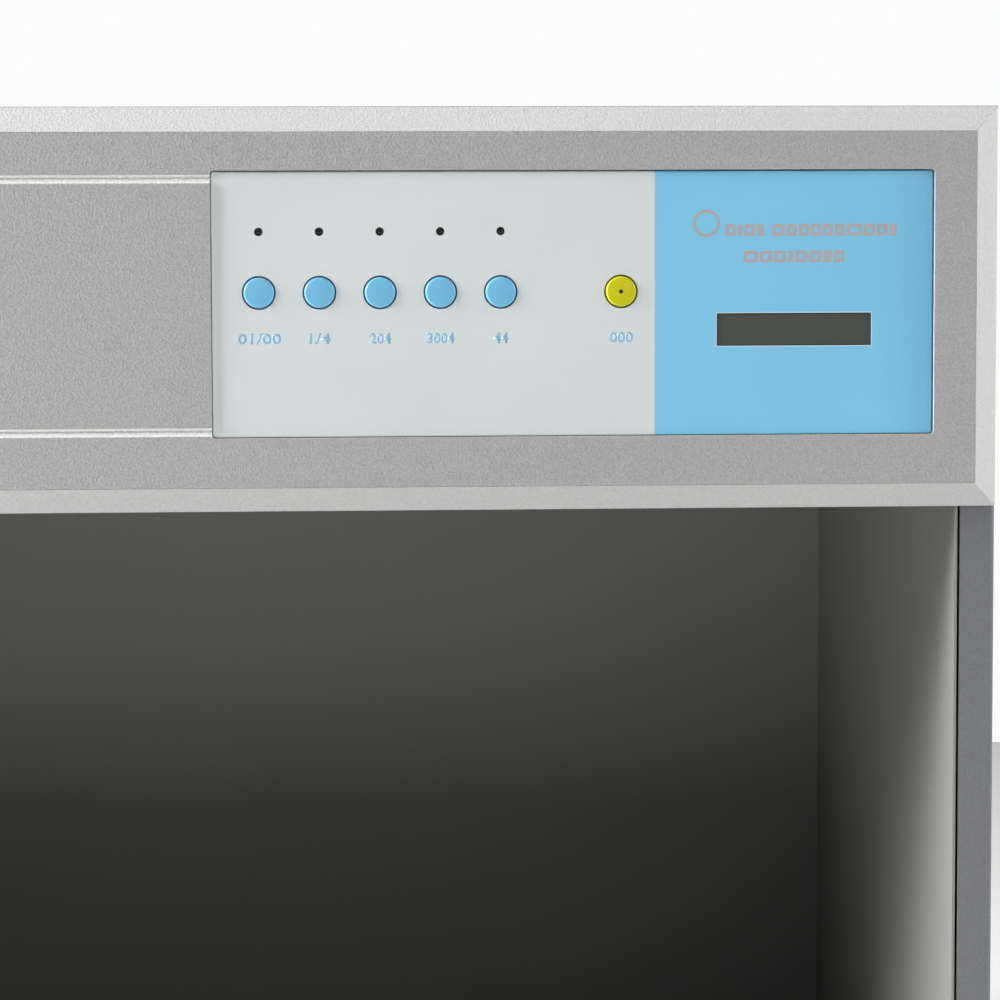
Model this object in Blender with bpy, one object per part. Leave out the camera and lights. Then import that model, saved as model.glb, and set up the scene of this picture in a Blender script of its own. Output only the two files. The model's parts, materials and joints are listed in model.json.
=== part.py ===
"""Colour assessment cabinet: an open-fronted viewing chamber under a lamp head.

Frame: origin on the table under the cabinet's middle, +X to the right as seen
from the front, +Y to the back, +Z up. Everything is in metres.
"""

import math

import bmesh
import bpy
from mathutils import Matrix, Vector

# Cabinet over all
WIDTH = 0.710
HEIGHT = 0.570
FASCIA_Y = -0.2025  # front face of the fascia
REAR_Y = 0.2000  # outer face of the rear panel
SHEET = 0.0012  # steel sheet
GAP = 0.0003  # clearance between touching pieces
OVERRUN = 0.002  # how far a cutter or a joined rod runs past a face
HALF = WIDTH / 2

# Feet, side pans and base pan
FOOT_RADIUS = 0.015
FOOT_HEIGHT = 0.012
FOOT_CHAMFER = 0.0015
FOOT_INSET = 0.045
PAN_DEPTH = 0.0151  # width of the strip that a pan shows at the front
PAN_EDGE_RADIUS = 0.0020
SLOT = 0.0011  # dark slot between a pan's edge and the liner

# Lamp head
HEAD_BOTTOM = 0.3992
BEVEL = 0.0108  # width and depth of the bezel's sloping face
BEZEL_BACK = FASCIA_Y + BEVEL
REBATE = 0.008  # the bezel's ledge behind the fascia
FASCIA_THICK = 0.003
BAFFLE_Y = -0.1603  # rear face of the baffle between controls and lamps
REFLECTOR_Z = 0.505

# The fascia's window, and the control panel that sits low and to the left in it
PANEL_LEFT = 0.0206
PANEL_RIGHT = 0.3262
PANEL_LOW = 0.4310
PANEL_HIGH = 0.5431
PANEL_RADIUS = 0.0015
OVERLAY_LEFT = PANEL_LEFT + 0.0004
OVERLAY_RIGHT = PANEL_RIGHT - 0.0009
OVERLAY_LOW = PANEL_LOW + 0.0004
OVERLAY_HIGH = PANEL_HIGH - 0.0007
OVERLAY_RADIUS = 0.0011
OVERLAY_Y = FASCIA_Y + 0.0012
OVERLAY_LIP_Y = FASCIA_Y + FASCIA_THICK + GAP
OVERLAY_BACK = OVERLAY_LIP_Y + 0.0015
OVERLAY_LIP = 0.0055  # the lip that holds the overlay behind the fascia
GROOVE_HALF = 0.0021
GROOVE_DEPTH = 0.0016
GROOVE_SKEW = 0.0008  # how far the bottom of a groove lies off its middle
GROOVE_LIFT = 0.0005  # how far a groove's cutter stands out of the fascia
GROOVE_Z = (0.4335, 0.5394)
GROOVE_LEFT = -0.3250

BUTTON_PITCH = 0.0254
FIRST_BUTTON_X = 0.0406
BUTTON_Z = 0.4920
CLEAR_X = FIRST_BUTTON_X + 6 * BUTTON_PITCH
LED_Z = 0.5175
BUTTON_NAMES = ("power", "tungsten", "daylight", "store", "ultraviolet")
BUTTON_HOLE = 0.0071
BUTTON_RADIUS = 0.0064
BUTTON_FRONT = OVERLAY_Y - 0.0008
BUTTON_ROLL = 0.0010  # rounding of a cap's front edge
BUTTON_SKIRT = 0.0067
SKIRT_FRONT = OVERLAY_Y + 0.0005
BUTTON_COLLAR = 0.0076
COLLAR_THICK = 0.0012
STEM_RADIUS = 0.0033
STEM_END = -0.1910
CLEAR_PIN_RADIUS = 0.0009
CLEAR_PIN_DEPTH = 0.0018
RECESS = 0.0004  # indicators and display lie this far behind the overlay's face
LED_HOLE = 0.0018
LED_RADIUS = 0.0015
LED_FLANGE = 0.0019
LED_SKIRT = 0.0050  # from an indicator's tip to its flange
LED_FLANGE_THICK = 0.0010
LED_LEG = 0.0009
BOARD_Y = -0.1886  # front face of the control board
BOARD_THICK = 0.0016
BOARD_SIDE = 0.0165  # from the outer buttons to the control board's ends
BOARD_BELOW = 0.045  # from the buttons to its lower edge
BOARD_ABOVE = 0.014  # from the indicators to its upper edge
PILLAR_RADIUS = 0.0030
PILLAR_INSET = 0.005
CHIP_SIZE = (0.040, 0.0040, 0.015)
CHIP_RISE = 0.030  # from the board's lower edge to the chip
SWITCH_SIZE = 0.012
SWITCH_FRONT = -0.1926
POCKET_CLEAR = 0.0004  # between a stem and its switch's pocket

LCD_X = 0.2665
LCD_Z = 0.4757
LCD_SIZE = (0.0658, 0.0138)
LCD_BEZEL = (0.071, 0.024)
LCD_BEZEL_DEPTH = 0.0070
LCD_CARD = (0.080, 0.036)
LCD_PILLAR = 0.0020
LCD_PILLAR_INSET = 0.0025

# Lamps
TUBE_RADIUS = 0.0130
TUBE_HALF = 0.2949  # half the length between the caps' end faces
TUBE_Z = 0.4700
TUBE_FIRST_Y = -0.1300
TUBE_PITCH = 0.0460
TUBE_NAMES = ("daylight_front", "store_front", "daylight_rear", "store_rear", "ultraviolet")
CAP_LENGTH = 0.012
CAP_CHAMFER = 0.001
CAP_RIM = 0.0004  # how far a cap stands out of its tube's glass
PIN_SPACING = 0.0127
PIN_RADIUS = 0.00118
PIN_LENGTH = 0.0071
HOLDER_INNER = TUBE_HALF + 0.0006
HOLDER_THICK = 0.014
HOLDER_HALF = 0.0125
HOLDER_CHAMFER = 0.002
POCKET_RADIUS = 0.0080
POCKET_DEPTH = 0.0082
PIN_SLOT = 0.0032
BULB_RADIUS = 0.030
BULB_LENGTH = 0.105
BULB_Y = 0.135
BULB_Z = 0.455
BULB_START = 0.040  # the bulbs' crowns stand this far from the middle
BULB_CAP_RADIUS = 0.0130
BULB_CAP_LENGTH = 0.026
BULB_NECK_RADIUS = 0.016
BULB_TIP_RADIUS = 0.009
BULB_TIP_SLOPE = 0.002
BULB_TURN = 130  # degrees of the dome's arc
BULB_GRIP = 0.022  # how far a bulb's cap sits inside its holder
BULB_HOLDER_RADIUS = 0.020
BULB_HOLDER_LENGTH = 0.045
BULB_BORE = BULB_CAP_RADIUS + 0.0006
BRACKET_HALF = 0.015
BRACKET_THICK = 0.003
BRACKET_FOOT = (0.020, 0.002)

# Mains side
BALLAST_SIZE = (0.236, 0.030, 0.028)
BALLAST_TAB = 0.010
BALLAST_X = -0.300
BALLAST_YS = (-0.110, -0.060, -0.010)
INLET_X = 0.250
INLET_Z = 0.538
INLET_FLANGE = (0.050, 0.048)
INLET_BODY = (0.0272, 0.0462)
INLET_PROUD = -FASCIA_Y - REAR_Y  # so that the origin is mid-depth
INLET_RADIUS = 0.003
INLET_DEPTH = 0.028
SOCKET_Z = -0.008  # middle of the mains socket, from the inlet's middle
SOCKET_SIZE = (0.0246, 0.0164)
SOCKET_DEPTH = 0.0175
DRAWER_Z = 0.0145
DRAWER_SIZE = (0.0222, 0.0090)
DRAWER_DEPTH = 0.019
INLET_PINS = ((-0.007, -0.0015), (0.007, -0.0015), (0, 0.0025))  # from the socket's middle
INLET_PIN_HALF = (0.001, 0.002)
INLET_PIN_BACK = 0.002  # from the inlet's face to the tips of its pins
TERMINAL_AT = (-0.020, 0.100)
TERMINAL_SIZE = (0.096, 0.022, 0.018)
TERMINAL_WAYS = 8
TERMINAL_SLIT = 0.001  # half the width of the slits between ways
POWER_AT = (0.130, -0.130)
POWER_SIZE = (0.160, 0.100)
POWER_LIFT = 0.005
POWER_INSET = 0.006
RELAY_AT = (0.014, 0.018)
RELAY_SIZE = (0.016, 0.020, 0.016)
RELAY_PITCH = 0.027
RELAYS = 5
TRANSFORMER_AT = (0.060, 0.052)
TRANSFORMER_SIZE = (0.045, 0.038, 0.034)
SLOT_LENGTH = 0.100
SLOT_HEIGHT = 0.004
SLOT_PITCH = 0.010
SLOT_COLUMNS = (-0.190, -0.060, 0.070)
REAR_SLOTS_Z = 0.522
REAR_SLOTS = 4
TOP_SLOTS_Y = -0.040
TOP_SLOTS = 8

# Heights and widths that follow from the above
PAN_INNER = HALF - PAN_DEPTH
LINER_OUTER = PAN_INNER - SLOT
LINER_INNER = LINER_OUTER - SHEET
PAN_FRONT = BEZEL_BACK + GAP
PAN_BACK = REAR_Y - SHEET - GAP
BASE_TOP = FOOT_HEIGHT + PAN_DEPTH
FLOOR_BOTTOM = BASE_TOP + SLOT
BOX_TOP = HEIGHT - SHEET - GAP
DECK = REFLECTOR_Z + SHEET + GAP  # what stands on the reflector starts here


def linear(value):
    """One sRGB channel, 0 to 255, as linear light."""
    value = value / 255
    return value / 12.92 if value <= 0.04045 else ((value + 0.055) / 1.055) ** 2.4


def finish(name, colour, roughness, metallic=0.0):
    """A Principled material of this sRGB colour."""
    material = bpy.data.materials.new(name)
    material.use_nodes = True
    shader = material.node_tree.nodes["Principled BSDF"]
    rgba = (*(linear(c) for c in colour), 1.0)
    shader.inputs["Base Color"].default_value = rgba
    shader.inputs["Roughness"].default_value = roughness
    shader.inputs["Metallic"].default_value = metallic
    material.diffuse_color = rgba
    return material


def clear_scene():
    for obj in list(bpy.data.objects):
        bpy.data.objects.remove(obj)


def place(name, shape, material=None, smooth=False):
    """Puts a bmesh into the scene as one object."""
    mesh = bpy.data.meshes.new(name)
    bmesh.ops.recalc_face_normals(shape, faces=shape.faces)
    shape.to_mesh(mesh)
    shape.free()
    obj = bpy.data.objects.new(name, mesh)
    bpy.context.collection.objects.link(obj)
    if material:
        mesh.materials.append(material)
    if smooth:
        mesh.shade_smooth()
        mesh.set_sharp_from_angle(angle=math.radians(35))
    return obj


def add_block(shape, low, high):
    """Adds a box between two corners, and returns its vertices."""
    size = Vector(high) - Vector(low)
    middle = (Vector(high) + Vector(low)) / 2
    matrix = Matrix.Translation(middle) @ Matrix.Diagonal((*size, 1.0))
    return bmesh.ops.create_cube(shape, size=1.0, matrix=matrix)["verts"]


def block(low, high):
    shape = bmesh.new()
    add_block(shape, low, high)
    return shape


def add_rod(shape, start, end, radius, steps):
    """Adds a round bar from start to end."""
    along = Vector(end) - Vector(start)
    turn = along.to_track_quat("Z", "Y").to_matrix().to_4x4()
    matrix = Matrix.Translation((Vector(start) + Vector(end)) / 2) @ turn
    bmesh.ops.create_cone(
        shape,
        cap_ends=True,
        segments=steps,
        radius1=radius,
        radius2=radius,
        depth=along.length,
        matrix=matrix,
    )


def face_towards(shape, direction):
    """The face whose normal is nearest to a direction, and furthest along it."""
    direction = Vector(direction)
    shape.normal_update()
    facing = [f for f in shape.faces if f.normal.dot(direction) > 0.99]
    return max(facing, key=lambda f: f.calc_center_median().dot(direction))


def push(shape, face, move):
    """Extrudes one face by a vector."""
    made = bmesh.ops.extrude_face_region(shape, geom=[face])["geom"]
    corners = [part for part in made if isinstance(part, bmesh.types.BMVert)]
    bmesh.ops.translate(shape, verts=corners, vec=Vector(move))
    bmesh.ops.delete(shape, geom=[face], context="FACES_ONLY")


def pan(low, high, open_towards, wall):
    """A shallow folded tray that fills a box and is open on one side."""
    shape = block(low, high)
    direction = Vector(open_towards)
    mouth = face_towards(shape, direction)
    bmesh.ops.inset_region(shape, faces=[mouth], thickness=wall)
    depth = abs((Vector(high) - Vector(low)).dot(direction)) - wall
    push(shape, mouth, -direction * depth)
    return shape


def bevel_edges(shape, test, radius, segments):
    """Rounds the edges whose two ends both pass a test."""
    edges = [e for e in shape.edges if all(test(v.co) for v in e.verts)]
    bmesh.ops.bevel(
        shape, geom=edges, offset=radius, segments=segments, profile=0.5, affect="EDGES"
    )


def spun(profile, centre, axis, steps):
    """Turns (distance along the axis, radius) points about an axis."""
    shape = bmesh.new()
    side = Vector((0, 0, 1)) if abs(axis[2]) < 0.5 else Vector((1, 0, 0))
    centre = Vector(centre)
    axis = Vector(axis)
    points = [shape.verts.new(centre + axis * along + side * r) for along, r in profile]
    edges = [shape.edges.new(pair) for pair in zip(points, points[1:])]
    bmesh.ops.spin(
        shape,
        geom=points + edges,
        cent=centre,
        axis=axis,
        angle=math.tau,
        steps=steps,
        use_merge=True,
    )
    bmesh.ops.remove_doubles(shape, verts=shape.verts, dist=1e-6)
    return shape


def rounded_plate(low, high, radius, steps=3):
    """A box between two corners with its edges along Y rounded."""
    shape = block(low, high)
    edges = [e for e in shape.edges if abs(e.verts[0].co.y - e.verts[1].co.y) > 1e-6]
    bmesh.ops.bevel(
        shape, geom=edges, offset=radius, segments=steps, profile=0.5, affect="EDGES"
    )
    return shape


def prism(outline, start, run):
    """Pushes a flat outline of points along the vector run."""
    shape = bmesh.new()
    base = shape.faces.new([shape.verts.new(Vector(start) + Vector(p)) for p in outline])
    made = bmesh.ops.extrude_face_region(shape, geom=[base], use_keep_orig=True)["geom"]
    corners = [part for part in made if isinstance(part, bmesh.types.BMVert)]
    bmesh.ops.translate(shape, verts=corners, vec=Vector(run))
    bmesh.ops.remove_doubles(shape, verts=shape.verts, dist=1e-7)
    return shape


def combine(obj, shape, operation, name):
    """Cuts a shape from an object, or joins it on, with a live Boolean."""
    tool = place(f"{obj.name}_{name}", shape)
    tool.hide_render = True
    tool.display_type = "WIRE"
    modifier = obj.modifiers.new(name, "BOOLEAN")
    modifier.operation = operation
    modifier.object = tool
    return obj


def cut(obj, shape, name="cut"):
    return combine(obj, shape, "DIFFERENCE", name)


def join(obj, shape, name="join"):
    return combine(obj, shape, "UNION", name)


# ---------------------------------------------------------------- outer casing


def make_side_pans(paint):
    """Folded side panels, each with a rounded front edge outside."""
    for name, side in (("left", -1), ("right", 1)):
        ends = sorted((side * PAN_INNER, side * HALF))
        low = (ends[0], PAN_FRONT, FOOT_HEIGHT)
        high = (ends[1], PAN_BACK, BOX_TOP)
        shape = pan(low, high, (-side, 0, 0), SHEET)
        at_edge = Vector((side * HALF, PAN_FRONT))
        bevel_edges(shape, lambda co: (co.xy - at_edge).length < 1e-6, PAN_EDGE_RADIUS, 3)
        place(f"side_panel_{name}", shape, paint)


def make_base(paint, rubber):
    edge = PAN_INNER - GAP
    low = (-edge, PAN_FRONT, FOOT_HEIGHT)
    high = (edge, PAN_BACK, BASE_TOP)
    place("base_panel", pan(low, high, (0, 0, 1), SHEET), paint)
    top = FOOT_HEIGHT - GAP
    profile = [
        (0, 0),
        (0, FOOT_RADIUS - FOOT_CHAMFER),
        (FOOT_CHAMFER, FOOT_RADIUS),
        (top, FOOT_RADIUS - FOOT_CHAMFER),
        (top, 0),
    ]
    for x_name, x in (("left", -1), ("right", 1)):
        for y_name, y in (("front", PAN_FRONT + FOOT_INSET), ("rear", PAN_BACK - FOOT_INSET)):
            centre = (x * (PAN_INNER - FOOT_INSET), y, 0)
            shape = spun(profile, centre, (0, 0, 1), 20)
            place(f"foot_{y_name}_{x_name}", shape, rubber, smooth=True)


def make_rear_panel(paint):
    edge = HALF - GAP
    shape = block((-edge, REAR_Y - SHEET, FOOT_HEIGHT + GAP), (edge, REAR_Y, BOX_TOP))
    panel = place("rear_panel", shape, paint)
    holes = bmesh.new()
    for column in SLOT_COLUMNS:
        for row in range(REAR_SLOTS):
            z = REAR_SLOTS_Z + row * SLOT_PITCH
            low = (column, REAR_Y - 2 * SHEET, z)
            add_block(holes, low, (column + SLOT_LENGTH, REAR_Y + SHEET, z + SLOT_HEIGHT))
    half_x = INLET_BODY[0] / 2 + GAP
    half_z = INLET_BODY[1] / 2 + GAP
    low = (INLET_X - half_x, REAR_Y - 2 * SHEET, INLET_Z - half_z)
    add_block(holes, low, (INLET_X + half_x, REAR_Y + SHEET, INLET_Z + half_z))
    cut(panel, holes)


def make_top_cover(paint):
    low = (-HALF, PAN_FRONT, HEIGHT - SHEET)
    cover = place("top_cover", block(low, (HALF, REAR_Y, HEIGHT)), paint)
    holes = bmesh.new()
    for column in SLOT_COLUMNS:
        for row in range(TOP_SLOTS):
            y = TOP_SLOTS_Y + row * 2 * SLOT_PITCH
            low = (column, y, HEIGHT - 2 * SHEET)
            add_block(holes, low, (column + SLOT_LENGTH, y + SLOT_HEIGHT, HEIGHT + SHEET))
    cut(cover, holes)


# ---------------------------------------------------------------- viewing chamber


def make_chamber(grey, white):
    """The neutral grey liner, and the white reflector over the lamps."""
    back = PAN_BACK
    face = back - SHEET
    top = REFLECTOR_Z - GAP
    for name, side in (("left", -1), ("right", 1)):
        ends = sorted((side * LINER_INNER, side * LINER_OUTER))
        low = (ends[0], PAN_FRONT, FLOOR_BOTTOM)
        place(f"chamber_wall_{name}", block(low, (ends[1], face - GAP, top)), grey)
    low = (-LINER_OUTER, face, FLOOR_BOTTOM)
    place("chamber_back", block(low, (LINER_OUTER, back, top)), grey)
    edge = LINER_INNER - GAP
    low = (-edge, PAN_FRONT, FLOOR_BOTTOM)
    place("chamber_floor", block(low, (edge, face - GAP, FLOOR_BOTTOM + SHEET)), grey)
    low = (-LINER_OUTER, BAFFLE_Y - SHEET, REFLECTOR_Z)
    place("reflector", block(low, (LINER_OUTER, back, REFLECTOR_Z + SHEET)), white)


def make_head_baffle(paint):
    """The head's underside, folded up between the controls and the lamps."""
    edge = LINER_INNER - GAP
    outline = [
        (0, PAN_FRONT, HEAD_BOTTOM),
        (0, BAFFLE_Y, HEAD_BOTTOM),
        (0, BAFFLE_Y, REFLECTOR_Z - GAP),
        (0, BAFFLE_Y - SHEET, REFLECTOR_Z - GAP),
        (0, BAFFLE_Y - SHEET, HEAD_BOTTOM + SHEET),
        (0, PAN_FRONT, HEAD_BOTTOM + SHEET),
    ]
    place("head_baffle", prism(outline, (-edge, 0, 0), (2 * edge, 0, 0)), paint)


# ---------------------------------------------------------------- fascia


def make_bezel(paint):
    """A mitred frame with a sloping face, and a rebate for the fascia."""
    half = HALF - BEVEL
    low = HEAD_BOTTOM + BEVEL
    high = HEIGHT - BEVEL
    ledge = FASCIA_Y + FASCIA_THICK + GAP
    section = [
        (0, FASCIA_Y),
        (BEVEL, BEZEL_BACK),
        (-REBATE, BEZEL_BACK),
        (-REBATE, ledge),
        (0, ledge),
    ]
    shape = bmesh.new()
    rings = []
    for out, y in section:
        x = half + out
        corners = ((-x, low - out), (x, low - out), (x, high + out), (-x, high + out))
        rings.append([shape.verts.new((cx, y, cz)) for cx, cz in corners])
    for ring, after in zip(rings, rings[1:] + rings[:1]):
        for n in range(4):
            m = (n + 1) % 4
            shape.faces.new((ring[n], ring[m], after[m], after[n]))
    place("bezel_frame", shape, paint)


def groove_cutter():
    """One mitred cutter for the groove along the fascia's top, left end and bottom.

    It is steep above and on the left, and slopes gently below and on the right.
    """
    end = PANEL_LEFT + SHEET
    stations = (
        (end, GROOVE_Z[1], (0, 1), (0, 1)),
        (GROOVE_LEFT, GROOVE_Z[1], (-1, 1), (-1, 1)),
        (GROOVE_LEFT, GROOVE_Z[0], (-1, -1), (-1, 1)),
        (end, GROOVE_Z[0], (0, -1), (0, 1)),
    )
    reach = 1 + GROOVE_LIFT / GROOVE_DEPTH
    shape = bmesh.new()
    rings = []
    for x, z, outward, steep in stations:
        middle = Vector((x, FASCIA_Y, z))
        bottom = middle + Vector((steep[0], 0, steep[1])) * GROOVE_SKEW
        bottom.y += GROOVE_DEPTH
        side = Vector((outward[0], 0, outward[1])) * GROOVE_HALF
        edges = [bottom + (middle + s - bottom) * reach for s in (side, -side)]
        rings.append([shape.verts.new(co) for co in (*edges, bottom)])
    for ring, after in zip(rings, rings[1:]):
        for n in range(3):
            m = (n + 1) % 3
            shape.faces.new((ring[n], ring[m], after[m], after[n]))
    shape.faces.new(rings[0])
    shape.faces.new(rings[-1])
    return shape


def make_fascia(paint):
    half = HALF - BEVEL - GAP
    low = (-half, FASCIA_Y, HEAD_BOTTOM + BEVEL + GAP)
    high = (half, FASCIA_Y + FASCIA_THICK, HEIGHT - BEVEL - GAP)
    fascia = place("fascia_plate", block(low, high), paint)
    cut(fascia, groove_cutter(), "groove")
    low = (PANEL_LEFT, FASCIA_Y - SHEET, PANEL_LOW)
    high = (PANEL_RIGHT, FASCIA_Y + 2 * FASCIA_THICK, PANEL_HIGH)
    cut(fascia, rounded_plate(low, high, PANEL_RADIUS), "window")


def button_places():
    """(name, x) of each push button along its row."""
    row = [(name, FIRST_BUTTON_X + n * BUTTON_PITCH) for n, name in enumerate(BUTTON_NAMES)]
    return [*row, ("clear", CLEAR_X)]


def make_overlay(plastic):
    """A plate with holes; its lip lies behind the fascia, and its face in the window."""
    low = (OVERLAY_LEFT, OVERLAY_Y, OVERLAY_LOW)
    high = (OVERLAY_RIGHT, OVERLAY_BACK, OVERLAY_HIGH)
    overlay = place("control_overlay", rounded_plate(low, high, OVERLAY_RADIUS), plastic)
    low = (OVERLAY_LEFT - OVERLAY_LIP, OVERLAY_LIP_Y, OVERLAY_LOW - OVERLAY_LIP)
    high = (OVERLAY_RIGHT + OVERLAY_LIP, OVERLAY_BACK, OVERLAY_HIGH + OVERLAY_LIP)
    join(overlay, block(low, high), "lip")
    holes = bmesh.new()
    front, back = OVERLAY_Y - SHEET, OVERLAY_BACK + SHEET
    for name, x in button_places():
        add_rod(holes, (x, front, BUTTON_Z), (x, back, BUTTON_Z), BUTTON_HOLE, 28)
        if name != "clear":
            add_rod(holes, (x, front, LED_Z), (x, back, LED_Z), LED_HOLE, 12)
    half_x, half_z = (side / 2 for side in LCD_SIZE)
    low = (LCD_X - half_x, front, LCD_Z - half_z)
    add_block(holes, low, (LCD_X + half_x, back, LCD_Z + half_z))
    cut(overlay, holes)


def button_profile(has_pin):
    """(depth behind the front, radius) points of a cap on its stem."""
    arc = [
        (BUTTON_ROLL * (1 - math.sin(turn)), BUTTON_RADIUS - BUTTON_ROLL * (1 - math.cos(turn)))
        for turn in (math.pi / 2, math.pi / 3, math.pi / 6, 0)
    ]
    skirt = SKIRT_FRONT - BUTTON_FRONT
    shoulder = OVERLAY_BACK + GAP - BUTTON_FRONT
    collar_end = shoulder + COLLAR_THICK
    end = STEM_END - BUTTON_FRONT
    middle = [(0, 0)]
    if has_pin:
        middle = [
            (CLEAR_PIN_DEPTH, 0),
            (CLEAR_PIN_DEPTH, CLEAR_PIN_RADIUS),
            (0, CLEAR_PIN_RADIUS),
        ]
    back = [
        (skirt, BUTTON_RADIUS),
        (skirt, BUTTON_SKIRT),
        (shoulder, BUTTON_SKIRT),
        (shoulder, BUTTON_COLLAR),
        (collar_end, BUTTON_COLLAR),
        (collar_end, STEM_RADIUS),
        (end, STEM_RADIUS),
        (end, 0),
    ]
    return [*middle, *arc, *back]


def make_buttons(blue, yellow):
    for name, x in button_places():
        clear = name == "clear"
        centre = (x, BUTTON_FRONT, BUTTON_Z)
        shape = spun(button_profile(clear), centre, (0, 1, 0), 24)
        place(f"button_{name}", shape, yellow if clear else blue, smooth=True)


def make_leds(lens):
    front = OVERLAY_Y + RECESS
    dome = [
        (LED_RADIUS * (1 - math.cos(turn)), LED_RADIUS * math.sin(turn))
        for turn in (0, math.pi / 6, math.pi / 3, math.pi / 2)
    ]
    flange_end = LED_SKIRT + LED_FLANGE_THICK
    end = BOARD_Y - GAP - front
    profile = [
        *dome,
        (LED_SKIRT, LED_RADIUS),
        (LED_SKIRT, LED_FLANGE),
        (flange_end, LED_FLANGE),
        (flange_end, LED_LEG),
        (end, LED_LEG),
        (end, 0),
    ]
    for n, name in enumerate(BUTTON_NAMES):
        centre = (FIRST_BUTTON_X + n * BUTTON_PITCH, front, LED_Z)
        place(f"led_{name}", spun(profile, centre, (0, 1, 0), 12), lens, smooth=True)


def make_display(glass, card):
    half_x, half_z = (side / 2 - GAP for side in LCD_SIZE)
    low = (LCD_X - half_x, OVERLAY_Y + RECESS, LCD_Z - half_z)
    place("lcd_window", block(low, (LCD_X + half_x, OVERLAY_BACK, LCD_Z + half_z)), glass)
    front = OVERLAY_BACK + GAP
    frame_back = front + LCD_BEZEL_DEPTH
    half_x, half_z = (side / 2 for side in LCD_BEZEL)
    low = (LCD_X - half_x, front, LCD_Z - half_z)
    module = place("lcd_module", block(low, (LCD_X + half_x, frame_back, LCD_Z + half_z)), card)
    half_x, half_z = (side / 2 for side in LCD_CARD)
    low = (LCD_X - half_x, frame_back - GAP, LCD_Z - half_z)
    high = (LCD_X + half_x, frame_back + BOARD_THICK, LCD_Z + half_z)
    join(module, block(low, high), "card")
    pillars = bmesh.new()
    reach_x, reach_z = half_x - LCD_PILLAR_INSET, half_z - LCD_PILLAR_INSET
    for x in (-reach_x, reach_x):
        for z in (-reach_z, reach_z):
            start = (LCD_X + x, front, LCD_Z + z)
            add_rod(pillars, start, (LCD_X + x, frame_back, LCD_Z + z), LCD_PILLAR, 10)
    join(module, pillars, "pillars")


def make_control_board(card):
    """The card behind the buttons, with its switches, pillars and chip."""
    left, right = FIRST_BUTTON_X - BOARD_SIDE, CLEAR_X + BOARD_SIDE
    bottom, top = BUTTON_Z - BOARD_BELOW, LED_Z + BOARD_ABOVE
    back = BOARD_Y + BOARD_THICK
    board = place("control_board", block((left, BOARD_Y, bottom), (right, back, top)), card)
    switches = bmesh.new()
    pockets = bmesh.new()
    half = SWITCH_SIZE / 2
    for _, x in button_places():
        low = (x - half, SWITCH_FRONT, BUTTON_Z - half)
        add_block(switches, low, (x + half, BOARD_Y + GAP, BUTTON_Z + half))
        start = (x, SWITCH_FRONT - SHEET, BUTTON_Z)
        end = (x, BOARD_Y - SHEET, BUTTON_Z)
        add_rod(pockets, start, end, STEM_RADIUS + POCKET_CLEAR, 16)
    join(board, switches, "switches")
    cut(board, pockets, "pockets")
    others = bmesh.new()
    for x in (left + PILLAR_INSET, right - PILLAR_INSET):
        for z in (bottom + PILLAR_INSET, top - PILLAR_INSET):
            start = (x, OVERLAY_BACK + GAP, z)
            add_rod(others, start, (x, BOARD_Y + GAP, z), PILLAR_RADIUS, 10)
    length, thick, height = CHIP_SIZE
    chip = (left + right - length) / 2
    low = (chip, back - GAP, bottom + CHIP_RISE)
    add_block(others, low, (chip + length, back + thick, bottom + CHIP_RISE + height))
    join(board, others, "parts")


# ---------------------------------------------------------------- lamps


def tube_places():
    """(name, y) of each fluorescent tube, front to back."""
    return [(name, TUBE_FIRST_Y + n * TUBE_PITCH) for n, name in enumerate(TUBE_NAMES)]


def make_tubes(white, violet):
    """Each tube turns about its own length, so its origin is on that axis."""
    neck = TUBE_HALF - CAP_LENGTH
    half = [
        (TUBE_HALF, 0),
        (TUBE_HALF, TUBE_RADIUS - CAP_CHAMFER),
        (TUBE_HALF - CAP_CHAMFER, TUBE_RADIUS),
        (neck, TUBE_RADIUS),
        (neck, TUBE_RADIUS - CAP_RIM),
    ]
    profile = half + [(-along, radius) for along, radius in reversed(half)]
    for name, y in tube_places():
        shape = spun(profile, (0, 0, 0), (1, 0, 0), 20)
        finish_of = violet if name == "ultraviolet" else white
        tube = place(f"tube_{name}", shape, finish_of, smooth=True)
        tube.location = (0, y, TUBE_Z)
        pins = bmesh.new()
        for side in (-1, 1):
            for pin_y in (-PIN_SPACING / 2, PIN_SPACING / 2):
                start = (side * (TUBE_HALF - OVERRUN), pin_y, 0)
                end = (side * (TUBE_HALF + PIN_LENGTH), pin_y, 0)
                add_rod(pins, start, end, PIN_RADIUS, 8)
        join(tube, pins, "pins").modifiers["pins"].object.parent = tube


def make_lampholders(plastic):
    """Twist-in holders: a round pocket for the pins, and the slot they enter by."""
    for side_name, side in (("left", -1), ("right", 1)):
        for n, (_, y) in enumerate(tube_places(), start=1):
            ends = sorted((side * HOLDER_INNER, side * (HOLDER_INNER + HOLDER_THICK)))
            bottom = TUBE_Z - HOLDER_HALF
            low = (ends[0], y - HOLDER_HALF, bottom)
            high = (ends[1], y + HOLDER_HALF, REFLECTOR_Z - GAP)
            shape = block(low, high)
            bevel_edges(shape, lambda co: co.z < bottom + 1e-6, HOLDER_CHAMFER, 1)
            holder = place(f"lampholder_{side_name}_{n}", shape, plastic)
            start = (side * (HOLDER_INNER - OVERRUN), y, TUBE_Z)
            end = (side * (HOLDER_INNER + POCKET_DEPTH), y, TUBE_Z)
            pocket = bmesh.new()
            add_rod(pocket, start, end, POCKET_RADIUS, 20)
            cut(holder, pocket, "pocket")
            ends = sorted((start[0], end[0]))
            low = (ends[0], y - PIN_SLOT / 2, bottom - OVERRUN)
            cut(holder, block(low, (ends[1], y + PIN_SLOT / 2, TUBE_Z)), "slot")


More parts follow.
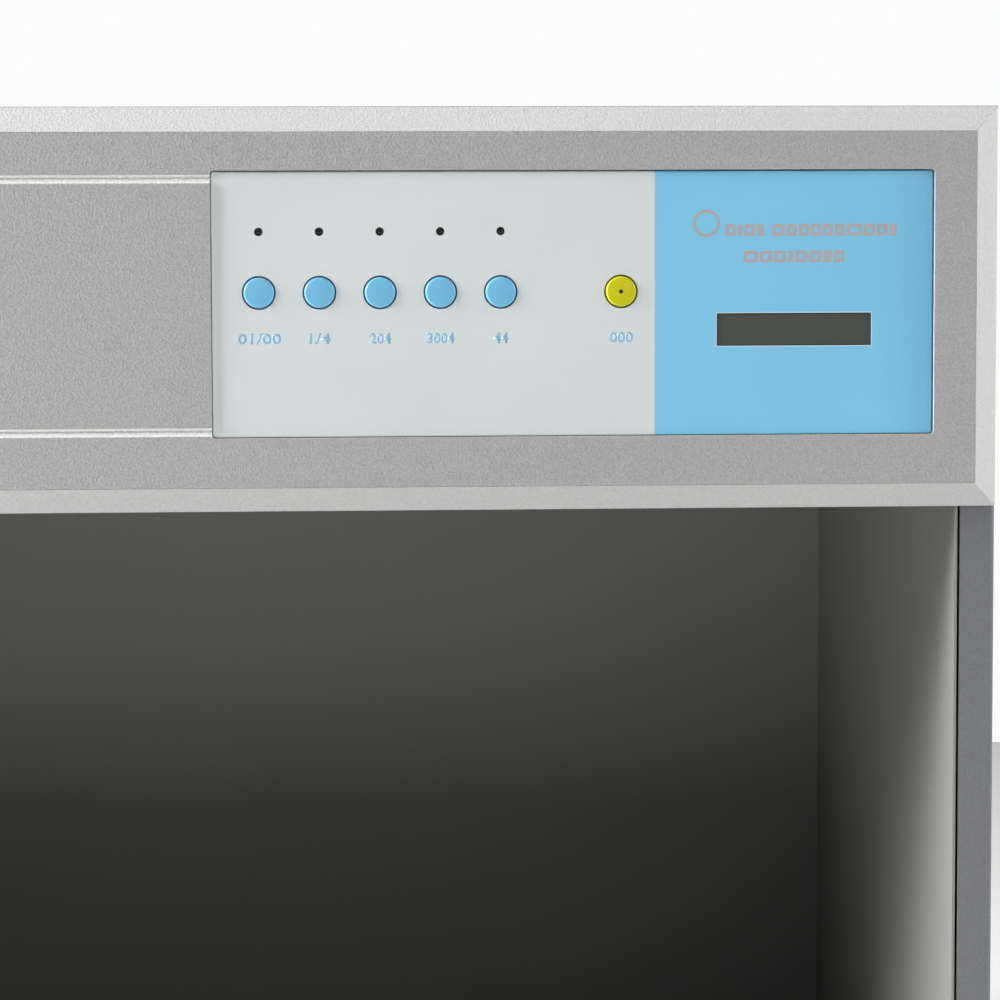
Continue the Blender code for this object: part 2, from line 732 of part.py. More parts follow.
def make_bulbs(glass, ceramic):
    """Two tungsten bulbs lying along the cabinet, crown to crown."""
    waist = BULB_LENGTH - BULB_CAP_LENGTH
    steps = 7
    dome = []
    for n in range(steps):
        turn = math.radians(n * BULB_TURN / (steps - 1))
        dome.append((BULB_RADIUS * (1 - math.cos(turn)), BULB_RADIUS * math.sin(turn)))
    profile = [
        *dome,
        (waist, BULB_NECK_RADIUS),
        (waist, BULB_CAP_RADIUS),
        (BULB_LENGTH - BULB_TIP_SLOPE, BULB_CAP_RADIUS),
        (BULB_LENGTH, BULB_TIP_RADIUS),
        (BULB_LENGTH, 0),
    ]
    for name, side in (("left", -1), ("right", 1)):
        centre = (side * BULB_START, BULB_Y, BULB_Z)
        shape = spun(profile, centre, (side, 0, 0), 20)
        place(f"bulb_{name}", shape, glass, smooth=True)
        mouth = BULB_START + BULB_LENGTH - BULB_GRIP
        end = mouth + BULB_HOLDER_LENGTH
        shell = bmesh.new()
        start = (side * mouth, BULB_Y, BULB_Z)
        add_rod(shell, start, (side * end, BULB_Y, BULB_Z), BULB_HOLDER_RADIUS, 20)
        holder = place(f"bulb_holder_{name}", shell, ceramic, smooth=True)
        top = REFLECTOR_Z - GAP
        reach, thick = BRACKET_FOOT
        ends = sorted((side * (end - BRACKET_THICK), side * end))
        low = (ends[0], BULB_Y - BRACKET_HALF, BULB_Z)
        join(holder, block(low, (ends[1], BULB_Y + BRACKET_HALF, top)), "bracket")
        ends = sorted((side * (end - BRACKET_THICK), side * (end + reach)))
        low = (ends[0], BULB_Y - BRACKET_HALF, top - thick)
        join(holder, block(low, (ends[1], BULB_Y + BRACKET_HALF, top)), "foot")
        bore = bmesh.new()
        start = (side * (mouth - OVERRUN), BULB_Y, BULB_Z)
        end = (side * (mouth + BULB_GRIP + OVERRUN), BULB_Y, BULB_Z)
        add_rod(bore, start, end, BULB_BORE, 20)
        cut(holder, bore, "bore")


# ---------------------------------------------------------------- mains side


def make_ballasts(steel):
    length, width, height = BALLAST_SIZE
    for n, y in enumerate(BALLAST_YS, start=1):
        low = (BALLAST_X, y - width / 2, DECK)
        shape = block(low, (BALLAST_X + length, y + width / 2, DECK + height))
        ballast = place(f"ballast_{n}", shape, steel)
        low = (BALLAST_X - BALLAST_TAB, y - width / 3, DECK)
        high = (BALLAST_X + length + BALLAST_TAB, y + width / 3, DECK + SHEET)
        join(ballast, block(low, high), "tabs")


def make_terminal_block(plastic):
    low = Vector((*TERMINAL_AT, DECK))
    size = Vector(TERMINAL_SIZE)
    terminal = place("terminal_block", block(low, low + size), plastic)
    pitch = size.x / TERMINAL_WAYS
    slits = bmesh.new()
    for n in range(1, TERMINAL_WAYS):
        x = low.x + n * pitch
        start = (x - TERMINAL_SLIT, low.y - GAP, low.z + size.z / 2)
        end = (x + TERMINAL_SLIT, low.y + size.y + GAP, low.z + size.z + GAP)
        add_block(slits, start, end)
    cut(terminal, slits)


def make_power_board(card):
    """The card that switches the lamps: relays and a small transformer."""
    low = Vector((*POWER_AT, DECK))
    start = low + Vector((0, 0, POWER_LIFT))
    shape = block(start, start + Vector((*POWER_SIZE, BOARD_THICK)))
    board = place("power_board", shape, card)
    parts = bmesh.new()
    for x in (POWER_INSET, POWER_SIZE[0] - POWER_INSET):
        for y in (POWER_INSET, POWER_SIZE[1] - POWER_INSET):
            foot = low + Vector((x, y, 0))
            add_rod(parts, foot, start + Vector((x, y, GAP)), PILLAR_RADIUS, 10)
    deck = start + Vector((0, 0, BOARD_THICK - GAP))
    for n in range(RELAYS):
        corner = deck + Vector((RELAY_AT[0] + n * RELAY_PITCH, RELAY_AT[1], 0))
        add_block(parts, corner, corner + Vector(RELAY_SIZE))
    corner = deck + Vector((*TRANSFORMER_AT, 0))
    add_block(parts, corner, corner + Vector(TRANSFORMER_SIZE))
    join(board, parts, "parts")


def make_power_inlet(plastic, pull):
    """Mains inlet with its socket, three flat pins, and a fuse drawer."""
    half_x, half_z = (side / 2 for side in INLET_FLANGE)
    face = REAR_Y + INLET_PROUD
    low = (INLET_X - half_x, REAR_Y + GAP, INLET_Z - half_z)
    high = (INLET_X + half_x, face, INLET_Z + half_z)
    shape = rounded_plate(low, high, INLET_RADIUS, 2)
    inlet = place("power_inlet", shape, plastic)
    half_x, half_z = (side / 2 for side in INLET_BODY)
    low = (INLET_X - half_x, REAR_Y - INLET_DEPTH, INLET_Z - half_z)
    high = (INLET_X + half_x, REAR_Y + 2 * GAP, INLET_Z + half_z)
    join(inlet, block(low, high), "body")
    holes = bmesh.new()
    half_x, half_z = (side / 2 for side in SOCKET_SIZE)
    z = INLET_Z + SOCKET_Z
    low = (INLET_X - half_x, face - SOCKET_DEPTH, z - half_z)
    add_block(holes, low, (INLET_X + half_x, face + SHEET, z + half_z))
    half_x, half_z = (side / 2 + GAP for side in DRAWER_SIZE)
    drawer_z = INLET_Z + DRAWER_Z
    low = (INLET_X - half_x, face - DRAWER_DEPTH - GAP, drawer_z - half_z)
    add_block(holes, low, (INLET_X + half_x, face + SHEET, drawer_z + half_z))
    cut(inlet, holes)
    pins = bmesh.new()
    start_y, end_y = face - SOCKET_DEPTH - SHEET, face - INLET_PIN_BACK
    half_x, half_z = INLET_PIN_HALF
    for pin_x, pin_z in INLET_PINS:
        pin_x, pin_z = INLET_X + pin_x, z + pin_z
        low = (pin_x - half_x, start_y, pin_z - half_z)
        add_block(pins, low, (pin_x + half_x, end_y, pin_z + half_z))
    join(inlet, pins, "pins")
    half_x, half_z = (side / 2 for side in DRAWER_SIZE)
    low = (INLET_X - half_x, face - DRAWER_DEPTH, drawer_z - half_z)
    high = (INLET_X + half_x, face, drawer_z + half_z)
    place("fuse_drawer", block(low, high), pull)


def main():
    clear_scene()
    casing = finish("casing_paint", (84, 85, 88), 0.55)
    bezel = finish("bezel_paint", (168, 168, 168), 0.5)
    fascia = finish("fascia_paint", (182, 182, 181), 0.55)
    chamber = finish("chamber_grey", (122, 122, 120), 0.9)
    reflector = finish("reflector_white", (238, 238, 234), 0.5)
    rubber = finish("rubber_black", (32, 32, 32), 0.8)
    overlay = finish("overlay_print", (210, 217, 218), 0.4)
    blue = finish("button_blue", (115, 185, 222), 0.35)
    yellow = finish("button_yellow", (205, 198, 30), 0.35)
    lens = finish("led_lens", (30, 32, 34), 0.3)
    window = finish("lcd_glass", (75, 78, 71), 0.25)
    card = finish("circuit_card", (28, 92, 60), 0.5)
    tube = finish("tube_phosphor", (240, 240, 236), 0.3)
    violet = finish("tube_ultraviolet", (44, 34, 66), 0.2)
    bulb = finish("bulb_glass", (236, 232, 220), 0.3)
    ceramic = finish("holder_white", (232, 230, 224), 0.5)
    steel = finish("ballast_steel", (160, 162, 165), 0.4, 0.7)
    black = finish("inlet_black", (24, 24, 25), 0.5)
    make_side_pans(casing)
    make_base(casing, rubber)
    make_rear_panel(casing)
    make_top_cover(casing)
    make_chamber(chamber, reflector)
    make_head_baffle(casing)
    make_bezel(bezel)
    make_fascia(fascia)
    make_overlay(overlay)
    make_buttons(blue, yellow)
    make_leds(lens)
    make_display(window, card)
    make_control_board(card)
    make_tubes(tube, violet)
    make_lampholders(ceramic)
    make_bulbs(bulb, ceramic)
    make_ballasts(steel)
    make_terminal_block(ceramic)
    make_power_board(card)
    make_power_inlet(black, black)


main()
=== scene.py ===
"""Looks of the colour assessment cabinet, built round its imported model.

Everything is in metres, in the model's own frame: +X to the right as seen from
the front, +Y to the back, +Z up.
"""

import json
import math
from contextlib import contextmanager

import bmesh
import bpy
from bpy.props import FloatProperty, FloatVectorProperty, IntProperty, PointerProperty
from mathutils import Matrix, Vector


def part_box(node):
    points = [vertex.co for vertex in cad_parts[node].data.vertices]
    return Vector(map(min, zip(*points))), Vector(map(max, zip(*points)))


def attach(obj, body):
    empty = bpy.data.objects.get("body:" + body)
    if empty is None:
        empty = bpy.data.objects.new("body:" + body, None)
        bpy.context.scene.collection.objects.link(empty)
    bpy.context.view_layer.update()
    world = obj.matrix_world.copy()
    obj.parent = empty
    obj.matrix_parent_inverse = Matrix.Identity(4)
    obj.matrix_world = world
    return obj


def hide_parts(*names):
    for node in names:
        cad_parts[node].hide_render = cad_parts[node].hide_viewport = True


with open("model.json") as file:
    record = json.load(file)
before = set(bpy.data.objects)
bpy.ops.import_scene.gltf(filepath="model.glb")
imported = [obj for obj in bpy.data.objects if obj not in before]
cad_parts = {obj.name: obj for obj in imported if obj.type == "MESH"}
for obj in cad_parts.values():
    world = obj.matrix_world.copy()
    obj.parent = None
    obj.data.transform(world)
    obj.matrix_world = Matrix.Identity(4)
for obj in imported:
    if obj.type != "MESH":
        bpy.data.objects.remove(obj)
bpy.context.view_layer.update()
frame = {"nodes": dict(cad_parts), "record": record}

bl_info = {
    "name": "Colour assessment cabinet",
    "version": (1, 0, 0),
    "blender": (4, 5, 0),
    "location": "View3D > Sidebar > Cabinet",
    "description": "Pieces and finishes of a bench cabinet for judging colours",
    "category": "Object",
}

FRONT = Vector((0, -1, 0))
BACK = Vector((0, 1, 0))
RIGHT = Vector((1, 0, 0))
UP = Vector((0, 0, 1))
LAMPS = ("power", "tungsten", "daylight", "store", "ultraviolet")
BUTTONS = (*LAMPS, "clear")
TUBES = ("daylight_front", "store_front", "daylight_rear", "store_rear", "ultraviolet")
STATIC = "cabinet"
GAP = 0.0003  # air between neighbouring pieces
CLOSE = 1e-5  # places nearer than this count as the same
THROUGH = 0.004  # how far a cutter reaches past a face

# Numerals under the buttons, with their widths, and the height of their row
MARKS = (
    ("power", "01/00", 0.0184),
    ("tungsten", "1/4", 0.0092),
    ("daylight", "204", 0.0092),
    ("store", "3004", 0.0118),
    ("ultraviolet", "44", 0.0063),
    ("clear", "000", 0.0102),
)
MARK_LEVEL = 0.4727

# Rows of the heading: height, both ends, and relative widths of its plain marks
HEADING_ROWS = (
    (0.5176, 0.2372, 0.3100, (5, 2, 5, 3.4, 2, 6, 4.6, 4.6, 5, 4.6, 4.6, 7.4, 5, 5, 3.4)),
    (0.5064, 0.2450, 0.2878, (6.0, 5, 5.2, 2, 5.2, 5, 3.4, 4.6)),
)
HEADING_SPACES = ((4,), ())
HEADING_GAP = 0.9
RING_PLACE = (0.2292, 0.5205)
RING_OUTSIDE, RING_INSIDE = 0.0058, 0.0045  # radii
DISPLAY_COLUMNS, DISPLAY_ROWS = 20, 2

# Mains inlet: half sizes of its barrel, socket and pins, and where they lie
INLET_BARREL = Vector((0.0136, 0, 0.0231))
INLET_SOCKET = Vector((0.0123, 0, 0.0082))
INLET_DROP, INLET_DEPTH = 0.008, 0.0175
INLET_PIN = Vector((0.001, 0, 0.002))
INLET_PIN_PLACES = ((-0.007, -0.0015), (0.007, -0.0015), (0, 0.0025))
INLET_SCREW_PLACE, INLET_SCREW_SEAT, INLET_SCREW_RADIUS = 0.0195, 0.0014, 0.0026

# A tube's end cap and its two pins
TUBE_CAP_RUN = 0.012
TUBE_PIN_RUN, TUBE_PIN_SPREAD, TUBE_PIN_RADIUS = 0.0071, 0.00635, 0.00118

# Soft lamps: name, place, width, height and power in watts
AIM = (0, -0.2, 0.45)
SOFTBOXES = (
    ("top_softbox", (0, -0.1, 2.4), 2.4, 1.6, 9),
    ("left_softbox", (-2.2, -0.45, 1.3), 0.8, 0.9, 142),
    ("right_softbox", (2.2, -0.6, 1.1), 1.0, 1.0, 36),
    ("front_softbox", (0.3, -3.6, 1.2), 2.4, 1.6, 6),
    ("crown_softbox", (0.15, -1.1, 2.1), 1.2, 0.12, 5),
    ("rear_softbox", (-1.0, 2.4, 2.8), 2.0, 1.4, 30),
)
SKY_STRENGTH, BACKDROP_STRENGTH = 0.04, 0.97
FLOOR_SIZE = 3.6

# The camera: its place, its yaw, pitch and roll in degrees, and its lens in millimetres
CAMERA_PLACE = (0.0465, -1.7281, 0.5261)
CAMERA_TURNS = (3.565, 4.573, -0.171)
CAMERA_LENS = 130.71
CAMERA_SHIFT = 0.001


def srgb(red, green, blue):
    """Linear light of an everyday 0 to 255 colour."""
    return tuple(
        c / 255 / 12.92 if c / 255 <= 0.04045 else ((c / 255 + 0.055) / 1.055) ** 2.4
        for c in (red, green, blue)
    )


def middle_of(node):
    low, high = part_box(node)
    return (low + high) / 2


# ---------------------------------------------------------------- settings


def length(name, description, default):
    return FloatProperty(
        name=name, description=description, default=default, min=0, unit="LENGTH", precision=5
    )


def colour(name, description, default):
    return FloatVectorProperty(
        name=name, description=description, default=default, min=0, max=1, subtype="COLOR"
    )


class CabinetSizes(bpy.types.PropertyGroup):
    """Sizes that the visible pieces are made to."""

    bevel: length("Bezel slope", "Width and depth of the bezel's sloping face", 0.0108)
    rebate: length("Bezel rebate", "How far the bezel reaches behind the fascia", 0.008)
    soft_edge: length("Soft edge", "Rounding of painted sheet edges", 0.0003)
    pan_edge: length("Side panel edge", "Rounding of a side panel's front edge", 0.0020)
    sheet: length("Sheet", "Thickness of the steel sheet", 0.0012)
    groove_wide: length("Groove width", "Width of the fascia's grooves", 0.0042)
    groove_deep: length("Groove depth", "Depth of the fascia's grooves", 0.0016)
    groove_skew: length("Groove skew", "How far a groove's bottom lies off its middle", 0.0008)
    groove_left: length("Groove left", "From the fascia's left edge to its groove", 0.0189)
    groove_low: length("Groove low", "From the window's lower edge up to the groove", 0.0025)
    groove_high: length("Groove high", "From the window's upper edge down to the groove", 0.0037)
    seam: length("Seam", "Line between the bezel and the fascia", 0.00005)
    panel_radius: length("Panel corner", "Corner radius of the control panel", 0.0011)
    lip: length("Panel lip", "Width of the lip that lies behind the fascia", 0.0055)
    gap_left: length("Gap left", "Gap left of the control panel", 0.0004)
    gap_right: length("Gap right", "Gap right of the control panel", 0.0009)
    gap_low: length("Gap low", "Gap under the control panel", 0.0004)
    gap_high: length("Gap high", "Gap over the control panel", 0.0007)
    # Painted shadow: the tone that the blue field falls to at its right edge, for the shadow of
    # the window's edge there.
    blue_edge_shade: FloatProperty(
        name="Blue fall", description="Tone of the blue field at its right edge", default=0.84
    )
    blue_start: length("Blue field", "From the yellow button to the blue field", 0.0143)
    button_hole: length("Button hole", "Radius of a hole for a button", 0.0071)
    button_radius: length("Button radius", "Radius of a button's cap", 0.0064)
    button_roll: length("Button edge", "Rounding of a button's front edge", 0.0010)
    button_skirt: length("Button skirt", "Radius of a button's skirt inside its hole", 0.0066)
    skirt_depth: length("Skirt depth", "From the panel's face to a button's skirt", 0.0009)
    collar_radius: length("Button collar", "Radius of the collar behind the panel", 0.0076)
    collar_thick: length("Collar thickness", "Thickness of that collar", 0.0012)
    stem_radius: length("Button stem", "Radius of a button's stem", 0.0033)
    reset_hole: length("Reset hole", "Radius of the hole in the yellow button", 0.0009)
    reset_depth: length("Reset depth", "Depth of that hole", 0.0018)
    led_hole: length("Indicator hole", "Radius of a hole for an indicator", 0.0018)
    led_radius: length("Indicator radius", "Radius of an indicator's lens", 0.0015)
    print_thick: length("Print thickness", "How far printing stands on the panel", 0.00002)
    heading_height: length("Heading height", "Height of the heading's marks", 0.0050)
    heading_stroke: length("Heading stroke", "Width of the heading's lines", 0.0015)
    border_line: length("Border line", "Width of the line round the display", 0.0004)
    mark_height: length("Mark height", "Height of the numerals under the buttons", 0.0046)
    tube_radius: length("Tube radius", "Radius of a fluorescent tube's end cap", 0.0130)
    screw_radius: length("Screw head", "Radius of a case screw's head", 0.0032)
    sides: IntProperty(
        name="Roundness", description="Sides of a turned piece", default=48, min=12, max=96
    )


class CabinetColours(bpy.types.PropertyGroup):
    """Colours of the finishes."""

    casing: colour("Casing", "Textured paint of the casing", srgb(118, 119, 123))
    # A painted highlight: the bezel carries the fascia's paint, and this lighter grey stands in
    # for the light that its sloping faces catch.
    bezel: colour("Bezel", "Textured paint of the bezel", srgb(195, 195, 195))
    fascia: colour("Fascia", "Textured paint of the fascia", srgb(167, 166, 166))
    # A painted highlight: the grooves carry the fascia's paint, and this paler grey stands in
    # for the light that their slopes catch.
    groove: colour("Groove", "Paint inside the fascia's grooves", srgb(228, 228, 227))
    chamber: colour("Chamber", "Matt neutral grey of the chamber", srgb(139, 139, 136))
    reflector: colour("Reflector", "White enamel over the lamps", srgb(238, 238, 234))
    rubber: colour("Rubber", "Feet", srgb(34, 34, 34))
    panel_grey: colour("Panel grey", "Left field of the control panel", srgb(212, 219, 219))
    panel_blue: colour("Panel blue", "Right field of the control panel", srgb(126, 197, 231))
    mark_blue: colour("Marks", "Numerals under the buttons", srgb(140, 180, 206))
    title_grey: colour("Title", "Blocks of the panel's heading", srgb(172, 168, 170))
    border: colour("Display border", "Line round the display", srgb(198, 220, 230))
    button_blue: colour("Blue button", "Lamp buttons", srgb(113, 184, 221))
    button_yellow: colour("Yellow button", "Clear button", srgb(200, 196, 12))
    lens: colour("Indicator", "Unlit indicator lens", srgb(30, 32, 34))
    display: colour("Display", "Unlit display window", srgb(75, 78, 71))
    card: colour("Circuit card", "Green solder mask", srgb(28, 92, 60))
    phosphor: colour("Tube coating", "White tube glass", srgb(240, 240, 236))
    violet: colour("Ultraviolet glass", "Deep violet tube glass", srgb(44, 34, 66))
    frosted: colour("Bulb glass", "Frosted bulb glass", srgb(236, 232, 220))
    holder: colour("Holders", "White heat-proof moulding", srgb(232, 230, 224))
    steel: colour("Steel", "Zinc-plated steel", srgb(176, 178, 182))
    inlet: colour("Inlet", "Black moulded plastic", srgb(26, 26, 27))
    floor: colour("Floor", "Pale studio floor", srgb(244, 244, 243))


# ---------------------------------------------------------------- modelling helpers


def clear_selection():
    active = bpy.context.view_layer.objects.active
    if active is not None and active.mode != "OBJECT":
        bpy.ops.object.mode_set(mode="OBJECT")
    bpy.ops.object.select_all(action="DESELECT")


def take(obj):
    """Makes obj the only selected object, and the active one."""
    clear_selection()
    obj.select_set(True)
    bpy.context.view_layer.objects.active = obj
    return obj


def settle(obj):
    """Moves the object's place into its mesh."""
    take(obj)
    bpy.ops.object.transform_apply(location=True, rotation=True, scale=True)
    return obj


def named(name):
    """Names the active object and its mesh, and settles it."""
    obj = bpy.context.object
    obj.name = name
    obj.data.name = name
    return settle(obj)


def add_box(name, low, high):
    clear_selection()
    low, high = Vector(low), Vector(high)
    bpy.ops.mesh.primitive_cube_add(size=1, location=(low + high) / 2)
    bpy.context.object.scale = high - low
    return named(name)


@contextmanager
def editing(obj):
    take(obj)
    bpy.ops.object.mode_set(mode="EDIT")
    yield
    bpy.ops.object.mode_set(mode="OBJECT")


def pick_faces(obj, test):
    """Selects the faces whose centre and normal pass a test, in edit mode."""
    bpy.ops.mesh.select_mode(type="FACE")
    bpy.ops.mesh.select_all(action="DESELECT")
    shape = bmesh.from_edit_mesh(obj.data)
    for face in shape.faces:
        face.select = test(face.calc_center_median(), face.normal)
    shape.select_flush_mode()
    bmesh.update_edit_mesh(obj.data)


def pick_edges(obj, test):
    """Selects the edges whose two ends pass a test, in edit mode."""
    bpy.ops.mesh.select_mode(type="EDGE")
    bpy.ops.mesh.select_all(action="DESELECT")
    shape = bmesh.from_edit_mesh(obj.data)
    for edge in shape.edges:
        edge.select = test(edge.verts[0].co, edge.verts[1].co)
    bmesh.update_edit_mesh(obj.data)


def extrude(move):
    bpy.ops.mesh.extrude_region_move(TRANSFORM_OT_translate={"value": tuple(move)})


def inset(thickness, depth=0.0):
    bpy.ops.mesh.inset(thickness=thickness, depth=depth, use_even_offset=True)


def facing(direction, at=None):
    """A test for faces that look one way, and lie at a place along it."""

    def test(centre, normal):
        level = at is None or abs(centre.dot(direction) - at) < CLOSE
        return normal.dot(direction) > 0.99 and level

    return test


def apply_modifier(obj, kind, **settings):
    take(obj)
    modifier = obj.modifiers.new(kind.lower(), kind)
    for key, value in settings.items():
        setattr(modifier, key, value)
    bpy.ops.object.modifier_apply(modifier=modifier.name)


def soften(obj, width, segments=3, angle=40):
    """Rounds the sharp edges, and shades the rest smooth."""
    apply_modifier(
        obj,
        "BEVEL",
        width=width,
        segments=segments,
        limit_method="ANGLE",
        angle_limit=math.radians(angle),
        use_clamp_overlap=True,
    )
    shade_flats(obj)


def shade(obj, angle):
    take(obj)
    bpy.ops.object.shade_smooth_by_angle(angle=math.radians(angle))


def shade_flats(obj):
    """Shades rounded edges smooth, and keeps the wide faces beside them flat."""
    shade(obj, 30)
    apply_modifier(obj, "WEIGHTED_NORMAL", keep_sharp=True, weight=100)


def carve(obj, cutter, operation="DIFFERENCE"):
    """Cuts a piece with another, which is used up."""
    apply_modifier(obj, "BOOLEAN", object=cutter, operation=operation, solver="EXACT")
    bpy.data.objects.remove(cutter)


def round_corners(obj, test, radius, segments=6):
    """Rounds the edges whose two ends pass a test."""
    with editing(obj):
        pick_edges(obj, test)
        bpy.ops.mesh.bevel(offset=radius, segments=segments, affect="EDGES")


def along(axis):
    """A test for edges that run along an axis."""
    return lambda a, b: (b - a).length > 1e-6 and abs((b - a).normalized().dot(axis)) > 0.999


def turned(name, centre, axis, profile, sides):
    """A turned piece: (distance along the axis, radius) rings, with flat ends."""
    centre, axis = Vector(centre), Vector(axis)
    (start, radius), (end, _) = profile[0], profile[1]
    clear_selection()
    bpy.ops.mesh.primitive_cylinder_add(
        vertices=sides,
        radius=radius,
        depth=end - start,
        location=centre + axis * (start + end) / 2,
        rotation=axis.to_track_quat("Z", "Y").to_euler(),
        end_fill_type="NGON",
    )
    obj = named(name)
    with editing(obj):
        pick_faces(obj, facing(axis, (centre + axis * end).dot(axis)))
        place = end
        for n, (here, size) in enumerate(profile[1:]):
            if n:
                extrude(axis * (here - place))
            if abs(size - radius) > 1e-9:
                share = size / radius
                bpy.ops.transform.resize(
                    value=(share,) * 3, center_override=centre + axis * here
                )
            place, radius = here, size
    return obj


def arc(start, radius, roll, steps=5):
    """Rings of a rounded front edge that reaches this radius."""
    turns = [math.pi / 2 * n / steps for n in range(steps + 1)]
    return [
        (start + roll * (1 - math.sin(turn)), radius - roll * (1 - math.cos(turn)))
        for turn in reversed(turns)
    ]


def rod(name, start, end, radius, sides=24):
    start, end = Vector(start), Vector(end)
    axis = (end - start).normalized()
    run = (end - start).length
    return turned(name, start, axis, [(0, radius), (run, radius)], sides)


def copy_to(obj, name, move):
    """A copy with its own mesh, moved."""
    take(obj)
    bpy.ops.object.duplicate(linked=False)
    bpy.context.object.location = Vector(move)
    return named(name)


def merge(objects, name):
    """Joins finished objects into one piece."""
    clear_selection()
    for obj in objects:
        obj.select_set(True)
    bpy.context.view_layer.objects.active = objects[0]
    if len(objects) > 1:
        bpy.ops.object.join()
    return named(name)


def fit(obj, material, body, slot, *nodes):
    """Gives a piece its finish, its body, and the nodes that it stands for."""
    obj.data.materials.clear()
    obj.data.materials.append(material)
    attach(obj, body)
    if nodes:
        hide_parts(*nodes)
    return obj


# ---------------------------------------------------------------- material helpers


def add(tree, kind, sockets=None, **settings):
    """Adds a node: plain values are set and sockets are linked."""
    node = tree.nodes.new(kind)
    for key, value in settings.items():
        setattr(node, key, value)
    for key, value in (sockets or {}).items():
        if isinstance(value, bpy.types.NodeSocket):
            tree.links.new(value, node.inputs[key])
        else:
            node.inputs[key].default_value = value
    return node


def calculate(tree, operation, *values):
    return add(
        tree, "ShaderNodeMath", dict(enumerate(values)), operation=operation
    ).outputs[0]


def blend_colour(tree, factor, first, second):
    sockets = {0: factor, 6: first, 7: second}
    return add(tree, "ShaderNodeMix", sockets, data_type="RGBA").outputs[2]


def ramp(tree, value, low, high, from_low=0.0, from_high=1.0):
    sockets = {0: value, 1: from_low, 2: from_high, 3: low, 4: high}
    return add(tree, "ShaderNodeMapRange", sockets).outputs[0]


def new_group(name, inputs, outputs):
    group = bpy.data.node_groups.new(name, "ShaderNodeTree")
    for title, kind, default in inputs:
        socket = group.interface.new_socket(title, in_out="INPUT", socket_type=kind)
        if default is not None:
            socket.default_value = default
    for title, kind in outputs:
        group.interface.new_socket(title, in_out="OUTPUT", socket_type=kind)
    return group, group.nodes.new("NodeGroupInput"), group.nodes.new("NodeGroupOutput")


def texture_group():
    """Orange-peel paint or moulding grain, with faint patches of tone."""
    found = bpy.data.node_groups.get("grained_surface")
    if found:
        return found
    colour_kind, number, vector = "NodeSocketColor", "NodeSocketFloat", "NodeSocketVector"
    group, given, made = new_group(
        "grained_surface",
        [
            ("Place", vector, None),
            ("Colour", colour_kind, (0.5, 0.5, 0.5, 1)),
            ("Grain", number, 900.0),
            ("Fleck", number, 0.1),
            ("Patch", number, 0.03),
            ("Roughness", number, 0.5),
        ],
        [("Colour", colour_kind), ("Roughness", number), ("Height", number)],
    )
    place = given.outputs["Place"]
    grain = add(
        group,
        "ShaderNodeTexNoise",
        {"Vector": place, "Scale": given.outputs["Grain"], "Detail": 2.0, "Roughness": 0.55},
    ).outputs[0]
    broad = add(
        group, "ShaderNodeTexNoise", {"Vector": place, "Scale": 14.0, "Detail": 3.0}
    ).outputs[0]
    fleck = calculate(group, "SUBTRACT", grain, 0.5)
    fleck = calculate(group, "MULTIPLY", fleck, given.outputs["Fleck"])
    patch = calculate(group, "SUBTRACT", broad, 0.5)
    patch = calculate(group, "MULTIPLY", patch, given.outputs["Patch"])
    tone = calculate(group, "ADD", fleck, patch)
    tone = calculate(group, "MULTIPLY_ADD", tone, 2.0, 1.0)
    scaled = add(group, "ShaderNodeVectorMath", {0: given.outputs["Colour"]}, operation="SCALE")
    group.links.new(tone, scaled.inputs["Scale"])
    group.links.new(scaled.outputs[0], made.inputs["Colour"])
    rough = calculate(group, "MULTIPLY_ADD", patch, 1.5, given.outputs["Roughness"])
    group.links.new(calculate(group, "ADD", rough, fleck), made.inputs["Roughness"])
    group.links.new(grain, made.inputs["Height"])
    return group


def new_material(name):
    """A new material with its tree, shader and object coordinates."""
    material = bpy.data.materials.new(name)
    material.use_nodes = True
    tree = material.node_tree
    shader = tree.nodes["Principled BSDF"]
    place = tree.nodes.new("ShaderNodeTexCoord").outputs["Object"]
    return material, tree, shader, place


def grained(
    name, tint, grain=900.0, fleck=0.1, patch=0.03, rough=0.5, bump=0.00005, **shader_values
):
    """A finish with a fine grain: flecks, patches and bump all come from its noise."""
    found = bpy.data.materials.get(name)
    if found:
        return found
    material, tree, shader, place = new_material(name)
    sockets = {
        "Place": place,
        "Colour": (*tint, 1.0),
        "Grain": grain,
        "Fleck": fleck,
        "Patch": patch,
        "Roughness": rough,
    }
    group = add(tree, "ShaderNodeGroup", node_tree=texture_group())
    group.name = "grain"
    for key, value in sockets.items():
        if isinstance(value, bpy.types.NodeSocket):
            tree.links.new(value, group.inputs[key])
        else:
            group.inputs[key].default_value = value
    relief = add(
        tree,
        "ShaderNodeBump",
        {"Height": group.outputs["Height"], "Distance": bump, "Strength": 1.0},
    )
    tree.links.new(group.outputs["Colour"], shader.inputs["Base Color"])
    tree.links.new(group.outputs["Roughness"], shader.inputs["Roughness"])
    tree.links.new(relief.outputs[0], shader.inputs["Normal"])
    for key, value in shader_values.items():
        shader.inputs[key.replace("_", " ")].default_value = value
    return material


def casing_paint(colours):
    return grained(
        "casing_coat", colours.casing, 1000.0, 0.18, 0.02, 0.6, 0.00020, Specular_IOR_Level=0.25
    )


def bezel_paint(colours):
    # Painted highlight: lighter than the fascia's grey, for the light on the bezel's slopes.
    return grained(
        "bezel_highlight_coat", colours.bezel, 1000.0, 0.20, 0.015, 0.5, 0.00030, Specular_IOR_Level=0.5
    )


def place_axes(material):
    """The three object coordinates of a finish, as sockets."""
    place = material.node_tree.nodes["grain"].inputs["Place"].links[0].from_socket
    return add(material.node_tree, "ShaderNodeSeparateXYZ", {0: place}).outputs


def retone(material, mask, first, second):
    """Blends a finish from one colour to another where a mask is high."""
    tree = material.node_tree
    blend = blend_colour(tree, mask, (*first, 1), (*second, 1))
    tree.links.new(blend, tree.nodes["grain"].inputs["Colour"])


